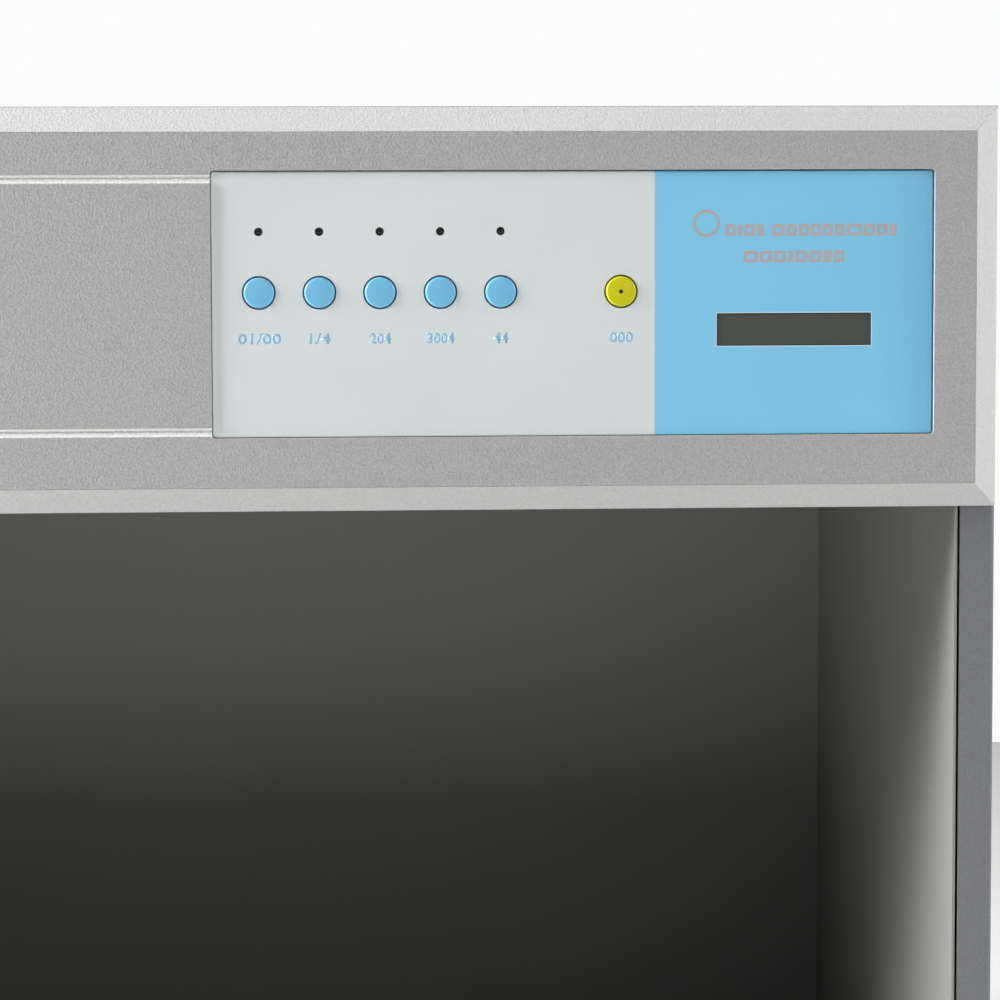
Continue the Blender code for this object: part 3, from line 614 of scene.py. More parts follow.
def fascia_paint(colours):
    """Textured grey with a painted highlight: paler inside the grooves and on the window's edge,
    for the light that their slopes catch.
    """
    found = bpy.data.materials.get("fascia_coat")
    if found:
        return found
    material = grained(
        "fascia_coat", colours.fascia, 1100.0, 0.30, 0.02, 0.55, 0.00050, Specular_IOR_Level=0.3
    )
    depth = place_axes(material)[1]
    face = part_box("fascia_plate")[0].y
    # Painted highlight: faces set back behind the fascia's face, inside the grooves and round
    # the window, take the paler groove grey.
    painted_light_mask = ramp(material.node_tree, depth, 0.0, 1.0, face + 0.0001, face + 0.0003)
    retone(material, painted_light_mask, colours.fascia, colours.groove)
    return material


def chamber_paint(colours):
    """Matt grey with painted shade: darker low down and towards the back."""
    found = bpy.data.materials.get("chamber_coat")
    if found:
        return found
    material = grained("chamber_coat", colours.chamber, 1500.0, 0.03, 0.02, 0.75, 0.00002)
    tree = material.node_tree
    axes = place_axes(material)
    low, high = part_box("chamber_back")
    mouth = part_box("chamber_floor")[0].y
    # Painted shade: the mask rises towards the back and low down, and darkens the grey there to
    # 36 per cent of its tone.
    inward = ramp(tree, axes[1], 0.0, 1.0, mouth, high.y)
    inward = calculate(tree, "POWER", inward, 2.0)
    bottom, head = low.z + 0.18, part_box("bezel_frame")[0].z - 0.02
    painted_light_mask = ramp(tree, axes[2], 1.0, 0.0, bottom, head)
    painted_light_mask = calculate(tree, "POWER", painted_light_mask, 1.6)
    mask = calculate(tree, "MULTIPLY", inward, painted_light_mask)
    painted_shade_grey = tuple(c * 0.36 for c in colours.chamber)
    retone(material, mask, colours.chamber, painted_shade_grey)
    return material


def steel_finish(colours):
    return grained(
        "plated_steel", colours.steel, 400.0, 0.08, 0.06, 0.34, 0.00001, Metallic=1.0
    )


def print_finish(name, tint):
    return grained(name, tint, 2500.0, 0.04, 0.02, 0.4, 0.000002)


def moulded(name, tint, rough, **shader_values):
    """Smooth moulded plastic with a faint bloom."""
    return grained(name, tint, 1800.0, 0.02, 0.03, rough, 0.000004, **shader_values)


def panel_print(sizes, colours):
    """Satin plastic, back-printed pale grey with a sky-blue field on the right, and a painted
    shadow along the blue field's right edge.
    """
    material, tree, shader, place = new_material("panel_print")
    edge = middle_of("button_clear").x + sizes.blue_start
    axes = add(tree, "ShaderNodeSeparateXYZ", {0: place})
    side = ramp(tree, axes.outputs[0], 0.0, 1.0, edge - 0.0001, edge + 0.0001)
    cloud = add(tree, "ShaderNodeTexNoise", {"Vector": place, "Scale": 9.0, "Detail": 2.0})
    tone = ramp(tree, cloud.outputs[0], 0.97, 1.03, 0.3, 0.7)
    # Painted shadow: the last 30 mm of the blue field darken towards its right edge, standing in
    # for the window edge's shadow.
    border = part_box("control_overlay")[1].x
    edge_shade = ramp(tree, axes.outputs[0], 1.0, sizes.blue_edge_shade, border - 0.03, border)
    tone = calculate(tree, "MULTIPLY", tone, edge_shade)
    field = blend_colour(tree, side, (*colours.panel_grey, 1), (*colours.panel_blue, 1))
    toned = add(tree, "ShaderNodeVectorMath", {0: field}, operation="SCALE")
    tree.links.new(tone, toned.inputs["Scale"])
    fine = add(tree, "ShaderNodeTexNoise", {"Vector": place, "Scale": 2200.0, "Detail": 1.0})
    relief = add(tree, "ShaderNodeBump", {"Height": fine.outputs[0], "Distance": 0.000002})
    rough = ramp(tree, fine.outputs[0], 0.30, 0.36, 0.3, 0.7)
    tree.links.new(toned.outputs[0], shader.inputs["Base Color"])
    tree.links.new(rough, shader.inputs["Roughness"])
    tree.links.new(relief.outputs[0], shader.inputs["Normal"])
    return material


def display_glass(colours):
    """An unlit character display: olive, with its rows of cells barely showing."""
    material, tree, shader, place = new_material("display_glass")
    low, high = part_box("lcd_window")
    axes = add(tree, "ShaderNodeSeparateXYZ", {0: place})
    across = calculate(tree, "SUBTRACT", axes.outputs[0], low.x)
    cells = calculate(tree, "MULTIPLY", across, DISPLAY_COLUMNS / (high.x - low.x))
    cell = calculate(tree, "PINGPONG", cells, 0.5)
    rise = calculate(tree, "SUBTRACT", axes.outputs[2], low.z)
    rows = calculate(tree, "MULTIPLY", rise, DISPLAY_ROWS / (high.z - low.z))
    row = calculate(tree, "PINGPONG", rows, 0.5)
    inside = calculate(tree, "MINIMUM", cell, row)
    mask = ramp(tree, inside, 0.0, 1.0, 0.05, 0.12)
    cloud = add(tree, "ShaderNodeTexNoise", {"Vector": place, "Scale": 25.0, "Detail": 1.0})
    shade_value = ramp(tree, cloud.outputs[0], 0.9, 1.1, 0.3, 0.7)
    base = blend_colour(
        tree,
        calculate(tree, "MULTIPLY", mask, 0.05),
        (*colours.display, 1),
        (0.02, 0.02, 0.02, 1),
    )
    toned = add(tree, "ShaderNodeVectorMath", {0: base}, operation="SCALE")
    tree.links.new(shade_value, toned.inputs["Scale"])
    tree.links.new(toned.outputs[0], shader.inputs["Base Color"])
    tree.links.new(ramp(tree, cloud.outputs[0], 0.16, 0.24), shader.inputs["Roughness"])
    return material


def circuit_card(colours):
    """Green solder mask with paler tracks under it."""
    material, tree, shader, place = new_material("board_laminate")
    tracks = add(
        tree, "ShaderNodeTexVoronoi", {"Vector": place, "Scale": 320.0}, distance="CHEBYCHEV"
    )
    mask = ramp(tree, tracks.outputs["Distance"], 1.0, 0.0, 0.28, 0.33)
    tint = colours.card
    paler = tuple(min(1.0, c * 1.8) for c in tint)
    field = blend_colour(tree, mask, (*tint, 1), (*paler, 1))
    relief = add(tree, "ShaderNodeBump", {"Height": mask, "Distance": 0.00003})
    tree.links.new(field, shader.inputs["Base Color"])
    tree.links.new(ramp(tree, mask, 0.35, 0.5), shader.inputs["Roughness"])
    tree.links.new(relief.outputs[0], shader.inputs["Normal"])
    return material


# ---------------------------------------------------------------- casing


class CABINET_OT_side_panels(bpy.types.Operator):
    """Folded side panels with a rounded front edge"""

    bl_idname = "cabinet.side_panels"
    bl_label = "Side panels"

    def execute(self, context):
        sizes, colours = context.scene.cabinet_sizes, context.scene.cabinet_colours
        for name, side in (("left", -1), ("right", 1)):
            node = f"side_panel_{name}"
            low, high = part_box(node)
            obj = add_box(f"{node}_shell", low, high)
            outer = side * high.x if side > 0 else low.x
            mouth = -side * RIGHT
            depth = high.x - low.x - sizes.sheet
            with editing(obj):
                pick_faces(obj, facing(mouth))
                inset(sizes.sheet)
                extrude(-mouth * depth)
            corner = Vector((outer, low.y))
            round_corners(
                obj,
                lambda a, b: max((a.xy - corner).length, (b.xy - corner).length) < CLOSE,
                sizes.pan_edge,
                8,
            )
            soften(obj, sizes.soft_edge, 2)
            fit(obj, casing_paint(colours), STATIC, "casing_paint", node)
        return {"FINISHED"}


class CABINET_OT_bezel(bpy.types.Operator):
    """Mitred frame with a sloping face round the lamp head"""

    bl_idname = "cabinet.bezel"
    bl_label = "Bezel"

    def execute(self, context):
        sizes, colours = context.scene.cabinet_sizes, context.scene.cabinet_colours
        low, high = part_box("bezel_frame")
        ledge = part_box("fascia_plate")[1].y + GAP
        clear_selection()
        bpy.ops.mesh.primitive_plane_add(
            size=1,
            location=((low.x + high.x) / 2, high.y, (low.z + high.z) / 2),
            rotation=(math.pi / 2, 0, 0),
        )
        bpy.context.object.scale = (high.x - low.x, high.z - low.z, 1)
        obj = named("bezel_profile")
        with editing(obj):
            bpy.ops.mesh.select_all(action="SELECT")
            inset(sizes.bevel, sizes.bevel)
            pick_faces(obj, facing(FRONT, -low.y))
            extrude(BACK * (ledge - low.y))
            inset(sizes.rebate)
            extrude(BACK * (high.y - ledge))
            bpy.ops.mesh.delete(type="FACE")
            pick_edges(
                obj,
                lambda a, b: min(a.y, b.y) > high.y - CLOSE
                and (abs(abs(a.x) - abs(b.x)) < 1e-4 or abs(a.z - b.z) < 1e-4),
            )
            bpy.ops.mesh.bridge_edge_loops()
            bpy.ops.mesh.select_all(action="SELECT")
            bpy.ops.mesh.normals_make_consistent(inside=False)
        soften(obj, sizes.soft_edge, 2, 25)
        fit(obj, bezel_paint(colours), STATIC, "bezel_paint", "bezel_frame")
        return {"FINISHED"}


def panel_edges(sizes):
    """Opposite corners of the control panel's face, inside its lip."""
    low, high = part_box("control_overlay")
    front = Vector((low.x + sizes.lip, low.y, low.z + sizes.lip))
    return front, Vector((high.x - sizes.lip, low.y, high.z - sizes.lip))


def window_edges(sizes):
    """Opposite corners of the fascia's window round the control panel."""
    low, high = panel_edges(sizes)
    low -= Vector((sizes.gap_left, 0, sizes.gap_low))
    high += Vector((sizes.gap_right, 0, sizes.gap_high))
    return low, high


def groove_cutter(sizes, low, high):
    """A frame with a V section along a rectangle, steep above and on the left."""
    wide, deep, lift = sizes.groove_wide, sizes.groove_deep, 0.0001
    middle, size = (low + high) / 2, high - low
    outer = size + Vector((wide, 0, wide))
    inner = size - Vector((wide, 0, wide))
    clear_selection()
    bpy.ops.mesh.primitive_plane_add(
        size=1, location=middle + FRONT * lift, rotation=(math.pi / 2, 0, 0)
    )
    bpy.context.object.scale = (outer.x, outer.z, 1)
    obj = named("groove")

    def deep_edges(start):
        """A test for the edges of the deep ring that started at this outline."""

        def on_it(point):
            off = point - middle
            at_x = abs(abs(off.x) - start.x / 2) < CLOSE
            return off.y > 0 and (at_x or abs(abs(off.z) - start.z / 2) < CLOSE)

        return lambda a, b: on_it(a) and on_it(b)

    with editing(obj):
        bpy.ops.mesh.select_all(action="SELECT")
        inset(wide)
        bpy.ops.mesh.delete(type="FACE")
        bpy.ops.mesh.select_all(action="SELECT")
        extrude(BACK * (deep + lift))
        for start in (outer, inner):
            pick_edges(obj, deep_edges(start))
            share = (size.x / start.x, 1, size.z / start.z)
            bpy.ops.transform.resize(value=share, center_override=middle)
        pick_edges(obj, lambda a, b: min(a.y, b.y) > middle.y)
        bpy.ops.mesh.remove_doubles(threshold=CLOSE)
        pick_edges(obj, lambda a, b: min(a.y, b.y) > middle.y)
        skew = sizes.groove_skew
        bpy.ops.transform.translate(value=(-skew, 0, skew))
        bpy.ops.mesh.select_all(action="SELECT")
        bpy.ops.mesh.normals_make_consistent(inside=False)
    return obj


class CABINET_OT_fascia(bpy.types.Operator):
    """Fascia plate with its groove and the control panel's window"""

    bl_idname = "cabinet.fascia"
    bl_label = "Fascia"

    def execute(self, context):
        sizes, colours = context.scene.cabinet_sizes, context.scene.cabinet_colours
        low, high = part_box("fascia_plate")
        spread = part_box("bezel_frame")[1].x - sizes.bevel - high.x - sizes.seam
        spread = Vector((spread, 0, spread))
        obj = add_box("fascia_face", low - spread, high + spread)
        window_low, window_high = window_edges(sizes)
        left = low.x + sizes.groove_left
        inside = window_low.x + 3 * sizes.groove_wide
        start = Vector((left, low.y, window_low.z + sizes.groove_low))
        end = Vector((inside, low.y, window_high.z - sizes.groove_high))
        carve(obj, groove_cutter(sizes, start, end))
        through = Vector((0, 0.01, 0))
        window = add_box("window", window_low - through, window_high + through)
        round_corners(window, along(BACK), sizes.panel_radius + sizes.gap_left)
        carve(obj, window)
        soften(obj, sizes.soft_edge, 2, 25)
        fit(obj, fascia_paint(colours), STATIC, "fascia_paint", "fascia_plate")
        return {"FINISHED"}


class CABINET_OT_control_panel(bpy.types.Operator):
    """Control panel: a plastic plate with holes, held behind the fascia by its lip"""

    bl_idname = "cabinet.control_panel"
    bl_label = "Control panel"

    def execute(self, context):
        sizes, colours = context.scene.cabinet_sizes, context.scene.cabinet_colours
        low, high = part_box("control_overlay")
        lip_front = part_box("fascia_plate")[1].y + GAP
        obj = add_box("control_panel_plate", (low.x, lip_front, low.z), high)
        with editing(obj):
            pick_faces(obj, facing(FRONT))
            inset(sizes.lip)
            extrude(FRONT * (lip_front - low.y))
        round_corners(
            obj,
            lambda a, b: along(BACK)(a, b) and min(a.y, b.y) < low.y + CLOSE,
            sizes.panel_radius,
        )
        soften(obj, 0.0002, 2)
        reach = Vector((0, 0.005, 0))
        for n, name in enumerate(BUTTONS):
            centre = middle_of(f"button_{name}")
            centre.y = low.y
            hole = rod(f"hole_{n}", centre - reach, centre + reach, sizes.button_hole, 64)
            carve(obj, hole)
        for n, name in enumerate(LAMPS):
            centre = middle_of(f"led_{name}")
            centre.y = low.y
            hole = rod(f"pinhole_{n}", centre - reach, centre + reach, sizes.led_hole, 32)
            carve(obj, hole)
        glass_low, glass_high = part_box("lcd_window")
        edge = Vector((GAP, THROUGH, GAP))
        carve(obj, add_box("display_hole", glass_low - edge, glass_high + edge))
        shade_flats(obj)
        fit(obj, panel_print(sizes, colours), STATIC, "overlay_print", "control_overlay")
        return {"FINISHED"}


def numeral(name, text, centre, height, width, thick):
    """Flat printed numerals that face the front, drawn to a height and width."""
    clear_selection()
    bpy.ops.object.text_add(location=(0, 0, 0))
    obj = bpy.context.object
    obj.data.body = text
    obj.data.align_x = "CENTER"
    obj.data.align_y = "CENTER"
    obj.data.resolution_u = 3
    obj.data.offset = 0.03
    bpy.ops.object.convert(target="MESH")
    obj = named(name)
    corners = [Vector(c) for c in obj.bound_box]
    low = Vector(min(c[n] for c in corners) for n in range(3))
    high = Vector(max(c[n] for c in corners) for n in range(3))
    size = high - low
    shrink = Matrix.Diagonal((width / size.x, height / size.y, 1, 1))
    obj.data.transform(shrink @ Matrix.Translation(-(low + high) / 2))
    obj.data.transform(Matrix.Translation(centre) @ Matrix.Rotation(math.pi / 2, 4, "X"))
    apply_modifier(obj, "SOLIDIFY", thickness=thick, offset=0)
    return obj


def heading_mark(name, low, high, sizes):
    """A plain rounded block, open in its middle where it is wide enough."""
    obj = add_box(name, low, high)
    round_corners(obj, along(BACK), 0.0006, 3)
    stroke = Vector((sizes.heading_stroke, -0.001, sizes.heading_stroke))
    if (high - low).x > 2.6 * sizes.heading_stroke:
        carve(obj, add_box("opening", low + stroke, high - stroke))
    return obj


class CABINET_OT_printing(bpy.types.Operator):
    """Numerals under the buttons, and the plain blocks of the panel's heading"""

    bl_idname = "cabinet.printing"
    bl_label = "Printing"

    def execute(self, context):
        sizes, colours = context.scene.cabinet_sizes, context.scene.cabinet_colours
        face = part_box("control_overlay")[0].y
        marks = []
        for name, text, width in MARKS:
            centre = Vector((middle_of(f"button_{name}").x, face, MARK_LEVEL))
            mark = numeral(
                f"mark_{name}", text, centre, sizes.mark_height, width, 2 * sizes.print_thick
            )
            marks.append(mark)
        marks = merge(marks, "button_marks")
        fit(marks, print_finish("mark_print", colours.mark_blue), STATIC, "overlay_print")
        blocks = []
        for row, (z, start, end, widths) in enumerate(HEADING_ROWS):
            unit = (end - start) / (sum(widths) + HEADING_GAP * (len(widths) - 1))
            x = start
            for n, width in enumerate(widths):
                low = Vector((x, face - sizes.print_thick, z - sizes.heading_height / 2))
                run = Vector((width * unit, 2 * sizes.print_thick, sizes.heading_height))
                if n not in HEADING_SPACES[row]:
                    blocks.append(heading_mark(f"block_{row}_{n}", low, low + run, sizes))
                x += (width + HEADING_GAP) * unit
        centre = Vector((RING_PLACE[0], face, RING_PLACE[1]))
        thick = Vector((0, sizes.print_thick, 0))
        ring = rod("ring", centre - thick, centre + thick, RING_OUTSIDE, 48)
        hole = rod("ring_hole", centre - 3 * thick, centre + 3 * thick, RING_INSIDE, 48)
        carve(ring, hole)
        blocks.append(ring)
        title = merge(blocks, "heading_blocks")
        fit(title, print_finish("title_print", colours.title_grey), STATIC, "overlay_print")
        return {"FINISHED"}


class CABINET_OT_buttons(bpy.types.Operator):
    """Push-button caps with rounded rims on collared stems"""

    bl_idname = "cabinet.buttons"
    bl_label = "Buttons"

    def execute(self, context):
        sizes, colours = context.scene.cabinet_sizes, context.scene.cabinet_colours
        low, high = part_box("button_power")
        centre = Vector((middle_of("button_power").x, low.y, middle_of("button_power").z))
        plate_low, plate_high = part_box("control_overlay")
        skirt = plate_low.y + sizes.skirt_depth - low.y
        shoulder = plate_high.y + GAP - low.y
        collar_end = shoulder + sizes.collar_thick
        radius = sizes.button_radius
        rim = arc(0.0, radius, sizes.button_roll, 7)
        back = [
            (skirt, radius),
            (skirt, sizes.button_skirt),
            (shoulder, sizes.button_skirt),
            (shoulder, sizes.collar_radius),
            (collar_end, sizes.collar_radius),
            (collar_end, sizes.stem_radius),
            (high.y - low.y, sizes.stem_radius),
        ]
        cap = turned("cap", centre, BACK, rim + back, sizes.sides)
        shade(cap, 30)
        blue = moulded("blue_cap", colours.button_blue, 0.3)
        for name in LAMPS:
            move = middle_of(f"button_{name}") - middle_of("button_power")
            obj = copy_to(cap, f"cap_{name}", move)
            fit(obj, blue, f"button_{name}", "button_blue", f"button_{name}")
        move = middle_of("button_clear") - middle_of("button_power")
        obj = copy_to(cap, "cap_clear", move)
        middle = centre + move
        depth = sizes.reset_depth
        hole = rod("hole", middle + FRONT * depth, middle + BACK * depth, sizes.reset_hole, 24)
        carve(obj, hole)
        shade(obj, 30)
        yellow = moulded("yellow_cap", colours.button_yellow, 0.3)
        fit(obj, yellow, "button_clear", "button_yellow", "button_clear")
        start, end = middle + BACK * 0.0002, middle + BACK * (depth - 0.0001)
        pin_radius = sizes.reset_hole - 0.00005
        pin = rod("clear_reset_pin", start, end, pin_radius, 24)
        shade(pin, 30)
        fit(pin, moulded("reset_black", colours.inlet, 0.5), "button_clear", "inlet_black")
        bpy.data.objects.remove(cap)
        return {"FINISHED"}


class CABINET_OT_indicators(bpy.types.Operator):
    """Domed indicator lenses, set back in their holes"""

    bl_idname = "cabinet.indicators"
    bl_label = "Indicators"

    def execute(self, context):
        sizes, colours = context.scene.cabinet_sizes, context.scene.cabinet_colours
        low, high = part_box("led_power")
        middle = middle_of("led_power")
        centre = Vector((middle.x, low.y, middle.z))
        radius = sizes.led_radius
        skirt, thick = 0.0050, 0.001
        flange, leads = radius + 0.0004, radius * 0.6
        dome = arc(0.0, radius, radius - 0.00005, 7)
        back = [
            (skirt, radius),
            (skirt, flange),
            (skirt + thick, flange),
            (skirt + thick, leads),
            (high.y - low.y, leads),
        ]
        lens = turned("lens", centre, BACK, dome + back, 32)
        shade(lens, 40)
        finish = moulded("indicator_lens", colours.lens, 0.15)
        for name in LAMPS:
            obj = copy_to(lens, f"lens_{name}", middle_of(f"led_{name}") - middle)
            fit(obj, finish, STATIC, "led_lens", f"led_{name}")
        bpy.data.objects.remove(lens)
        return {"FINISHED"}


class CABINET_OT_display(bpy.types.Operator):
    """Display window with its pale border"""

    bl_idname = "cabinet.display"
    bl_label = "Display"

    def execute(self, context):
        sizes, colours = context.scene.cabinet_sizes, context.scene.cabinet_colours
        low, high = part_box("lcd_window")
        glass = add_box("display_window", low, high)
        soften(glass, 0.00015, 2)
        fit(glass, display_glass(colours), STATIC, "lcd_glass", "lcd_window")
        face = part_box("control_overlay")[0].y
        edge, line = GAP, sizes.border_line
        thick = sizes.print_thick
        outer = (edge + line, 0, edge + line)
        start = Vector((low.x, face - thick, low.z)) - Vector(outer)
        end = Vector((high.x, face + thick, high.z)) + Vector(outer)
        border = add_box("display_border", start, end)
        inner = Vector((edge, 0.001, edge))
        low_hole = Vector((low.x, face, low.z)) - inner
        high_hole = Vector((high.x, face, high.z)) + inner
        carve(border, add_box("border_hole", low_hole, high_hole))
        fit(border, print_finish("border_print", colours.border), STATIC, "overlay_print")
        return {"FINISHED"}


# ---------------------------------------------------------------- underside and rear


class CABINET_OT_feet(bpy.types.Operator):
    """Rubber feet with a screw in each"""

    bl_idname = "cabinet.feet"
    bl_label = "Feet"

    def execute(self, context):
        sizes, colours = context.scene.cabinet_sizes, context.scene.cabinet_colours
        names = [f"foot_{y}_{x}" for y in ("front", "rear") for x in ("left", "right")]
        low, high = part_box(names[0])
        middle = middle_of(names[0])
        centre = Vector((middle.x, middle.y, low.z))
        radius = (high.x - low.x) / 2
        rise = high.z - low.z
        recess, painted_light_mask = 0.0062, 0.0040
        profile = [
            (painted_light_mask, recess),
            (0.0005, recess),
            (0.0, recess + 0.0005),
            (0.0, radius - 0.0020),
            (0.0004, radius - 0.0008),
            (0.0015, radius),
            (rise, radius - 0.0012),
        ]
        foot = cup("foot", centre, UP, profile, sizes.sides)
        shade(foot, 35)
        rubber = grained("rubber", colours.rubber, 1400.0, 0.12, 0.05, 0.8, 0.00003)
        steel = steel_finish(colours)
        screw = case_screw("foot_screw", centre + UP * painted_light_mask, -UP, sizes.screw_radius)
        screws = []
        for name in names:
            move = middle_of(name) - middle
            fit(copy_to(foot, f"{name}_pad", move), rubber, STATIC, "rubber_black", name)
            screws.append(copy_to(screw, f"{name}_screw", move))
        bpy.data.objects.remove(foot)
        bpy.data.objects.remove(screw)
        fit(merge(screws, "foot_screws"), steel, STATIC, "ballast_steel")
        return {"FINISHED"}


def cup(name, centre, axis, profile, sides):
    """A turned piece whose first rings run backwards into a recess."""
    centre, axis = Vector(centre), Vector(axis)
    inside, outside = profile[:3], profile[3:]
    obj = turned(name, centre, axis, outside, sides)
    with editing(obj):
        place, radius = outside[0]
        pick_faces(obj, facing(-axis, (centre + axis * place).dot(-axis)))
        for here, size in reversed(inside):
            extrude(axis * (here - place))
            share = size / radius
            if abs(share - 1) > 1e-9:
                bpy.ops.transform.resize(
                    value=(share,) * 3, center_override=centre + axis * here
                )
            place, radius = here, size
    return obj


def case_screw(name, seat, axis, radius):
    """A low pan-head screw with a cross recess, on its seat."""
    seat, axis = Vector(seat), Vector(axis)
    rise = radius * 0.5
    profile = [
        (-0.0004, radius),
        (rise * 0.35, radius),
        (rise * 0.7, radius * 0.9),
        (rise * 0.92, radius * 0.68),
        (rise, radius * 0.4),
    ]
    obj = turned(name, seat, axis, profile, 24)
    side = Vector((1, 0, 0)) if abs(axis.x) < 0.5 else Vector((0, 1, 0))
    other = axis.cross(side)
    for n, (long, short) in enumerate(((side, other), (other, side))):
        half = long * radius * 0.5 + short * radius * 0.12
        reach = axis * rise
        corner_a = seat + axis * rise * 0.4
        corner_b = corner_a + reach
        low = Vector(min(a, b) for a, b in zip(corner_a, corner_b)) - Vector(map(abs, half))
        high = Vector(max(a, b) for a, b in zip(corner_a, corner_b)) + Vector(map(abs, half))
        carve(obj, add_box(f"recess_{n}", low, high))
    shade(obj, 35)
    return obj


class CABINET_OT_screws(bpy.types.Operator):
    """Case screws round the rear panel"""

    bl_idname = "cabinet.screws"
    bl_label = "Screws"

    def execute(self, context):
        sizes, colours = context.scene.cabinet_sizes, context.scene.cabinet_colours
        steel = steel_finish(colours)
        low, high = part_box("rear_panel")
        margin = 0.008
        columns = (low.x + margin, low.x / 2, 0.0, high.x / 2, high.x - margin)
        rows = (low.z + margin, (low.z + high.z) / 2, high.z - margin)
        spots = [(x, z) for x in columns for z in (rows[0], rows[2])]
        spots += [(x, rows[1]) for x in (columns[0], columns[-1])]
        first = Vector((0, high.y, 0))
        screw = case_screw("screw", first, BACK, sizes.screw_radius)
        copies = [
            copy_to(screw, f"rear_screw_{n}", (x, 0, z)) for n, (x, z) in enumerate(spots)
        ]
        bpy.data.objects.remove(screw)
        fit(merge(copies, "rear_screws"), steel, STATIC, "ballast_steel")
        return {"FINISHED"}


class CABINET_OT_mains_inlet(bpy.types.Operator):
    """Mains inlet with its pins, and the fuse drawer beside the socket"""

    bl_idname = "cabinet.mains_inlet"
    bl_label = "Mains inlet"

    def execute(self, context):
        sizes, colours = context.scene.cabinet_sizes, context.scene.cabinet_colours
        low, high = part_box("power_inlet")
        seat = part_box("rear_panel")[1].y + GAP
        middle = (low + high) / 2
        obj = add_box("inlet_flange", (low.x, seat, low.z), high)
        round_corners(obj, along(BACK), 0.003, 6)
        barrel = add_box(
            "inlet_barrel",
            (middle.x - INLET_BARREL.x, low.y, middle.z - INLET_BARREL.z),
            (middle.x + INLET_BARREL.x, seat + 0.001, middle.z + INLET_BARREL.z),
        )
        carve(obj, barrel, "UNION")
        face = high.y
        socket = Vector((middle.x, face, middle.z - INLET_DROP))
        hollow = add_box(
            "inlet_socket",
            socket - INLET_SOCKET - BACK * INLET_DEPTH,
            socket + INLET_SOCKET + BACK * THROUGH,
        )
        round_corners(
            hollow,
            lambda a, b: along(BACK)(a, b) and min(a.z, b.z) > socket.z,
            0.0035,
            1,
        )
        carve(obj, hollow)
        drawer_low, drawer_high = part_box("fuse_drawer")
        edge = Vector((GAP, GAP, GAP))
        far = drawer_high + edge + BACK * THROUGH
        carve(obj, add_box("drawer_hole", drawer_low - edge, far))
        soften(obj, 0.0003, 2)
        black = grained("inlet_plastic", colours.inlet, 1600.0, 0.08, 0.05, 0.5, 0.00001)
        fit(obj, black, STATIC, "inlet_black", "power_inlet")
        pins = []
        for n, (x, z) in enumerate(INLET_PIN_PLACES):
            centre = socket + Vector((x, 0, z))
            start = centre - INLET_PIN - BACK * (INLET_DEPTH + 0.0001)
            pin = add_box(f"pin_{n}", start, centre + INLET_PIN - BACK * 0.002)
            soften(pin, 0.0004, 2)
            pins.append(pin)
        for side in (-1, 1):
            place = Vector((middle.x + side * INLET_SCREW_PLACE, face, middle.z))
            place -= BACK * INLET_SCREW_SEAT
            pins.append(case_screw(f"inlet_screw_{side}", place, BACK, INLET_SCREW_RADIUS))
        pins = merge(pins, "inlet_metal")
        fit(pins, steel_finish(colours), STATIC, "ballast_steel")
        drawer = add_box("fuse_drawer_front", drawer_low, drawer_high)
        centre = (drawer_low + drawer_high) / 2
        notch_low = Vector((centre.x - 0.005, drawer_high.y - 0.0012, drawer_low.z + 0.0008))
        notch_high = Vector((centre.x + 0.005, drawer_high.y + 0.001, drawer_low.z + 0.0032))
        carve(drawer, add_box("notch", notch_low, notch_high))
        soften(drawer, 0.0002, 2)
        fit(drawer, black, "fuse_drawer", "inlet_black", "fuse_drawer")
        return {"FINISHED"}


# ---------------------------------------------------------------- lamps


class CABINET_OT_tubes(bpy.types.Operator):
    """Fluorescent tubes with crimped metal caps and two pins at each end"""

    bl_idname = "cabinet.tubes"
    bl_label = "Tubes"

    def execute(self, context):
        sizes, colours = context.scene.cabinet_sizes, context.scene.cabinet_colours
        low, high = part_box(f"tube_{TUBES[0]}")
        centre = (low + high) / 2
        radius = sizes.tube_radius
        half = high.x - centre.x - TUBE_PIN_RUN
        neck = half - TUBE_CAP_RUN
        glass = turned(
            "glass",
            centre,
            RIGHT,
            [(-neck - 0.001, radius - 0.0004), (neck + 0.001, radius - 0.0004)],
            sizes.sides,
        )
        shade(glass, 30)
        caps = []
        for side in (-1, 1):
            profile = [
                (neck, radius),
                (neck + 0.0012, radius),
                (neck + 0.0016, radius - 0.0003),
                (neck + 0.0024, radius - 0.0003),
                (neck + 0.0028, radius),
                (half - 0.0012, radius),
                (half - 0.0003, radius - 0.0006),
                (half, radius - 0.0016),
            ]
            caps.append(turned(f"cap_{side}", centre, side * RIGHT, profile, sizes.sides))
            for y in (-TUBE_PIN_SPREAD, TUBE_PIN_SPREAD):
                start = centre + Vector((side * (half - 0.001), y, 0))
                end = centre + Vector((side * (half + TUBE_PIN_RUN), y, 0))
                caps.append(rod(f"pin_{side}_{y}", start, end, TUBE_PIN_RADIUS, 12))
        metal = merge(caps, "caps")
        shade(metal, 30)
        white = moulded("tube_glass", colours.phosphor, 0.18)
        violet = moulded("violet_glass", colours.violet, 0.08)
        steel = steel_finish(colours)
        for name in TUBES:
            body = f"tube_{name}"
            move = middle_of(body) - centre
            dark = name == "ultraviolet"
            slot = "tube_ultraviolet" if dark else "tube_phosphor"
            finish = violet if dark else white
            fit(copy_to(glass, f"{body}_glass", move), finish, body, slot, body)
            fit(copy_to(metal, f"{body}_caps", move), steel, body, slot)
        bpy.data.objects.remove(glass)
        bpy.data.objects.remove(metal)
        return {"FINISHED"}


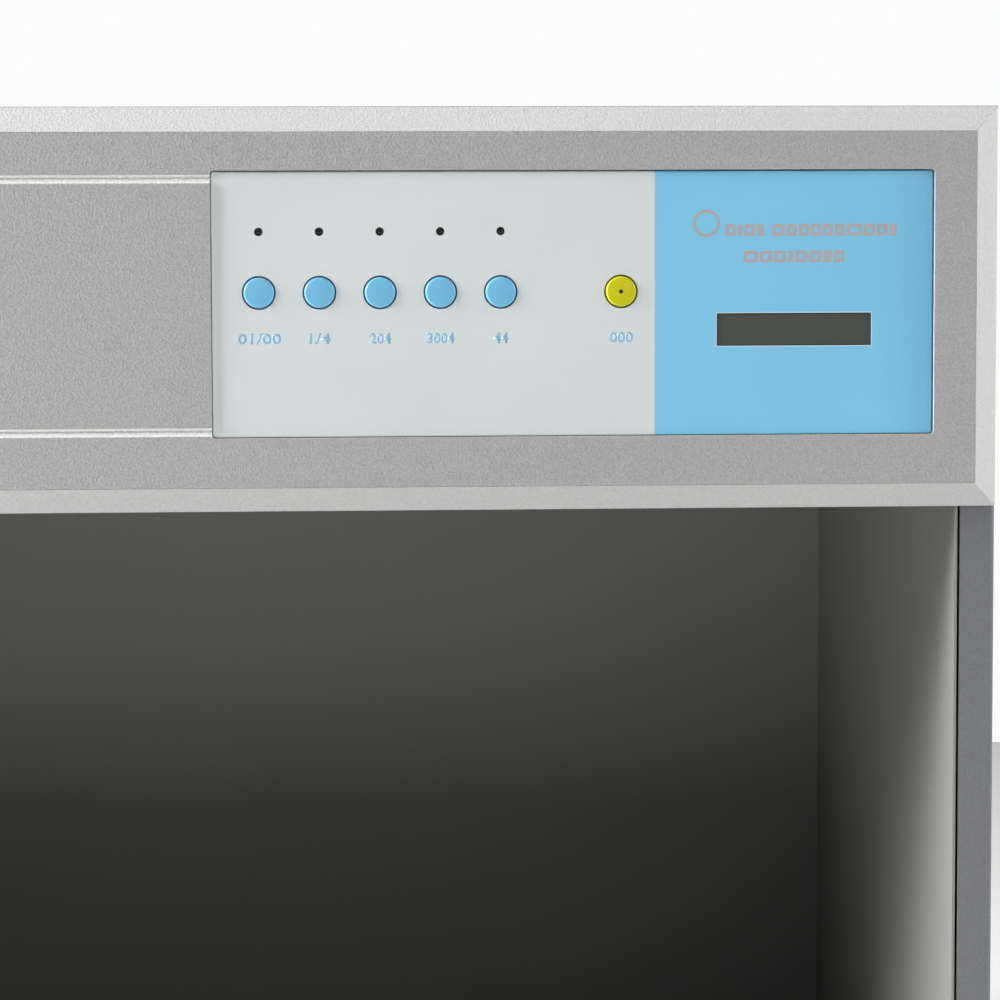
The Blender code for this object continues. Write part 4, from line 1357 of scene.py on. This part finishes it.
class CABINET_OT_bulbs(bpy.types.Operator):
    """Frosted bulbs with threaded caps"""

    bl_idname = "cabinet.bulbs"
    bl_label = "Bulbs"

    def execute(self, context):
        sizes, colours = context.scene.cabinet_sizes, context.scene.cabinet_colours
        frosted = moulded("frosted_glass", colours.frosted, 0.4)
        steel = steel_finish(colours)
        for name, side in (("left", -1), ("right", 1)):
            node = f"bulb_{name}"
            low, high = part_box(node)
            middle = (low + high) / 2
            crown = high.x if side < 0 else low.x
            run = high.x - low.x
            radius = (high.z - low.z) / 2
            centre = Vector((crown, middle.y, middle.z))
            cap_radius, cap_run = 0.0130, 0.026
            turns = [math.radians(8 + n * 132 / 13) for n in range(14)]
            dome = [
                (radius * (1 - math.cos(turn)), radius * math.sin(turn)) for turn in turns
            ]
            neck = [
                (run - cap_run - 0.012, cap_radius + 0.0035),
                (run - cap_run, cap_radius),
                (run - cap_run + 0.002, cap_radius - 0.0004),
            ]
            glass = turned(f"{node}_glass", centre, side * RIGHT, dome + neck, sizes.sides)
            shade(glass, 30)
            fit(glass, frosted, STATIC, "bulb_glass", node)
            thread = []
            pitch = 0.0036
            start = run - cap_run + 0.001
            for n in range(5):
                here = start + n * pitch
                thread += [
                    (here, cap_radius - 0.0008),
                    (here + pitch * 0.3, cap_radius),
                    (here + pitch * 0.6, cap_radius),
                    (here + pitch * 0.9, cap_radius - 0.0008),
                ]
            thread += [(run - 0.004, cap_radius - 0.001), (run, 0.005)]
            cap = turned(f"{node}_cap", centre, side * RIGHT, thread, sizes.sides)
            shade(cap, 30)
            fit(cap, steel, STATIC, "bulb_glass")
        return {"FINISHED"}


# ---------------------------------------------------------------- carried-over nodes


class CABINET_OT_finishes(bpy.types.Operator):
    """Finishes for the nodes that show as they are"""

    bl_idname = "cabinet.finishes"
    bl_label = "Finishes"

    def execute(self, context):
        colours = context.scene.cabinet_colours
        enamel = grained("enamel", colours.reflector, 700.0, 0.03, 0.02, 0.35, 0.00002)
        moulding = grained("heatproof", colours.holder, 1500.0, 0.03, 0.04, 0.5, 0.00001)
        finishes = {
            "casing_paint": casing_paint(colours),
            "bezel_paint": bezel_paint(colours),
            "fascia_paint": fascia_paint(colours),
            "chamber_grey": chamber_paint(colours),
            "reflector_white": enamel,
            "circuit_card": circuit_card(colours),
            "holder_white": moulding,
            "ballast_steel": steel_finish(colours),
        }
        for part in frame["record"]["subparts"]:
            finish = finishes.get(part["material_slot"])
            obj = frame["nodes"][part["node"]]
            if finish is None or obj.hide_render:
                continue
            for slot in obj.material_slots:
                slot.material = finish
        return {"FINISHED"}


# ---------------------------------------------------------------- stage


def softbox(name, place, width, height, power):
    """A wide soft lamp that looks at the head."""
    data = bpy.data.lights.new(name, "AREA")
    data.shape = "RECTANGLE"
    data.size = width
    data.size_y = height
    data.energy = power
    lamp = bpy.data.objects.new(name, data)
    lamp.location = place
    lamp.rotation_euler = (Vector(AIM) - Vector(place)).to_track_quat("-Z", "Y").to_euler()
    bpy.context.scene.collection.objects.link(lamp)


class CABINET_OT_stage(bpy.types.Operator):
    """Pale floor, soft light and the camera"""

    bl_idname = "cabinet.stage"
    bl_label = "Stage"

    def execute(self, context):
        colours = context.scene.cabinet_colours
        clear_selection()
        bpy.ops.mesh.primitive_plane_add(size=FLOOR_SIZE, location=(0, 0, 0))
        floor = named("floor")
        paint = grained("floor_paint", colours.floor, 60.0, 0.01, 0.01, 0.6, 0.00002)
        floor.data.materials.append(paint)
        for settings in SOFTBOXES:
            softbox(*settings)
        world = bpy.data.worlds.new("studio")
        context.scene.world = world
        world.use_nodes = True
        tree = world.node_tree
        sky = tree.nodes["Background"]
        white = (1, 1, 1, 1)
        sky.inputs["Color"].default_value = white
        sky.inputs["Strength"].default_value = SKY_STRENGTH
        sockets = {"Color": white, "Strength": BACKDROP_STRENGTH}
        seen = add(tree, "ShaderNodeBackground", sockets)
        path = tree.nodes.new("ShaderNodeLightPath")
        mixed = tree.nodes.new("ShaderNodeMixShader")
        tree.links.new(path.outputs["Is Camera Ray"], mixed.inputs[0])
        tree.links.new(sky.outputs[0], mixed.inputs[1])
        tree.links.new(seen.outputs[0], mixed.inputs[2])
        tree.links.new(mixed.outputs[0], tree.nodes["World Output"].inputs[0])
        context.scene.view_settings.view_transform = "Standard"
        make_camera()
        return {"FINISHED"}


def make_camera():
    """A camera in front of the head's right half, a little above it."""
    yaw, pitch, roll = (math.radians(turn) for turn in CAMERA_TURNS)
    ahead = Vector((math.sin(yaw), math.cos(yaw), 0))
    side = Vector((math.cos(yaw), -math.sin(yaw), 0))
    look = ahead * math.cos(pitch) - UP * math.sin(pitch)
    rise = UP * math.cos(pitch) + ahead * math.sin(pitch)
    right = side * math.cos(roll) + rise * math.sin(roll)
    up = rise * math.cos(roll) - side * math.sin(roll)
    data = bpy.data.cameras.new("camera")
    data.lens = CAMERA_LENS
    data.sensor_width = 36
    data.shift_y = CAMERA_SHIFT
    data.clip_start = 0.05
    data.clip_end = 50
    camera = bpy.data.objects.new("camera", data)
    turn = Matrix((right, up, -look)).transposed().to_4x4()
    camera.matrix_world = Matrix.Translation(CAMERA_PLACE) @ turn
    bpy.context.scene.collection.objects.link(camera)
    bpy.context.scene.camera = camera


# ---------------------------------------------------------------- add-on


OPERATORS = (
    CABINET_OT_side_panels,
    CABINET_OT_bezel,
    CABINET_OT_fascia,
    CABINET_OT_control_panel,
    CABINET_OT_printing,
    CABINET_OT_buttons,
    CABINET_OT_indicators,
    CABINET_OT_display,
    CABINET_OT_feet,
    CABINET_OT_screws,
    CABINET_OT_mains_inlet,
    CABINET_OT_tubes,
    CABINET_OT_bulbs,
    CABINET_OT_finishes,
    CABINET_OT_stage,
)


class CABINET_PT_panel(bpy.types.Panel):
    """The cabinet's pieces, sizes and colours"""

    bl_idname = "CABINET_PT_panel"
    bl_label = "Colour assessment cabinet"
    bl_space_type = "VIEW_3D"
    bl_region_type = "UI"
    bl_category = "Cabinet"

    def draw(self, context):
        column = self.layout.column(align=True)
        for operator in OPERATORS:
            column.operator(operator.bl_idname)
        for settings in (context.scene.cabinet_sizes, context.scene.cabinet_colours):
            box = self.layout.box()
            for name in settings.__annotations__:
                box.prop(settings, name)


CLASSES = (CabinetSizes, CabinetColours, *OPERATORS, CABINET_PT_panel)


def register():
    for cls in CLASSES:
        bpy.utils.register_class(cls)
    bpy.types.Scene.cabinet_sizes = PointerProperty(type=CabinetSizes)
    bpy.types.Scene.cabinet_colours = PointerProperty(type=CabinetColours)


def unregister():
    del bpy.types.Scene.cabinet_colours
    del bpy.types.Scene.cabinet_sizes
    for cls in reversed(CLASSES):
        bpy.utils.unregister_class(cls)


def main():
    register()
    for operator in OPERATORS:
        group, name = operator.bl_idname.split(".")
        getattr(getattr(bpy.ops, group), name)()
    clear_selection()


if __name__ == "__main__":
    main()
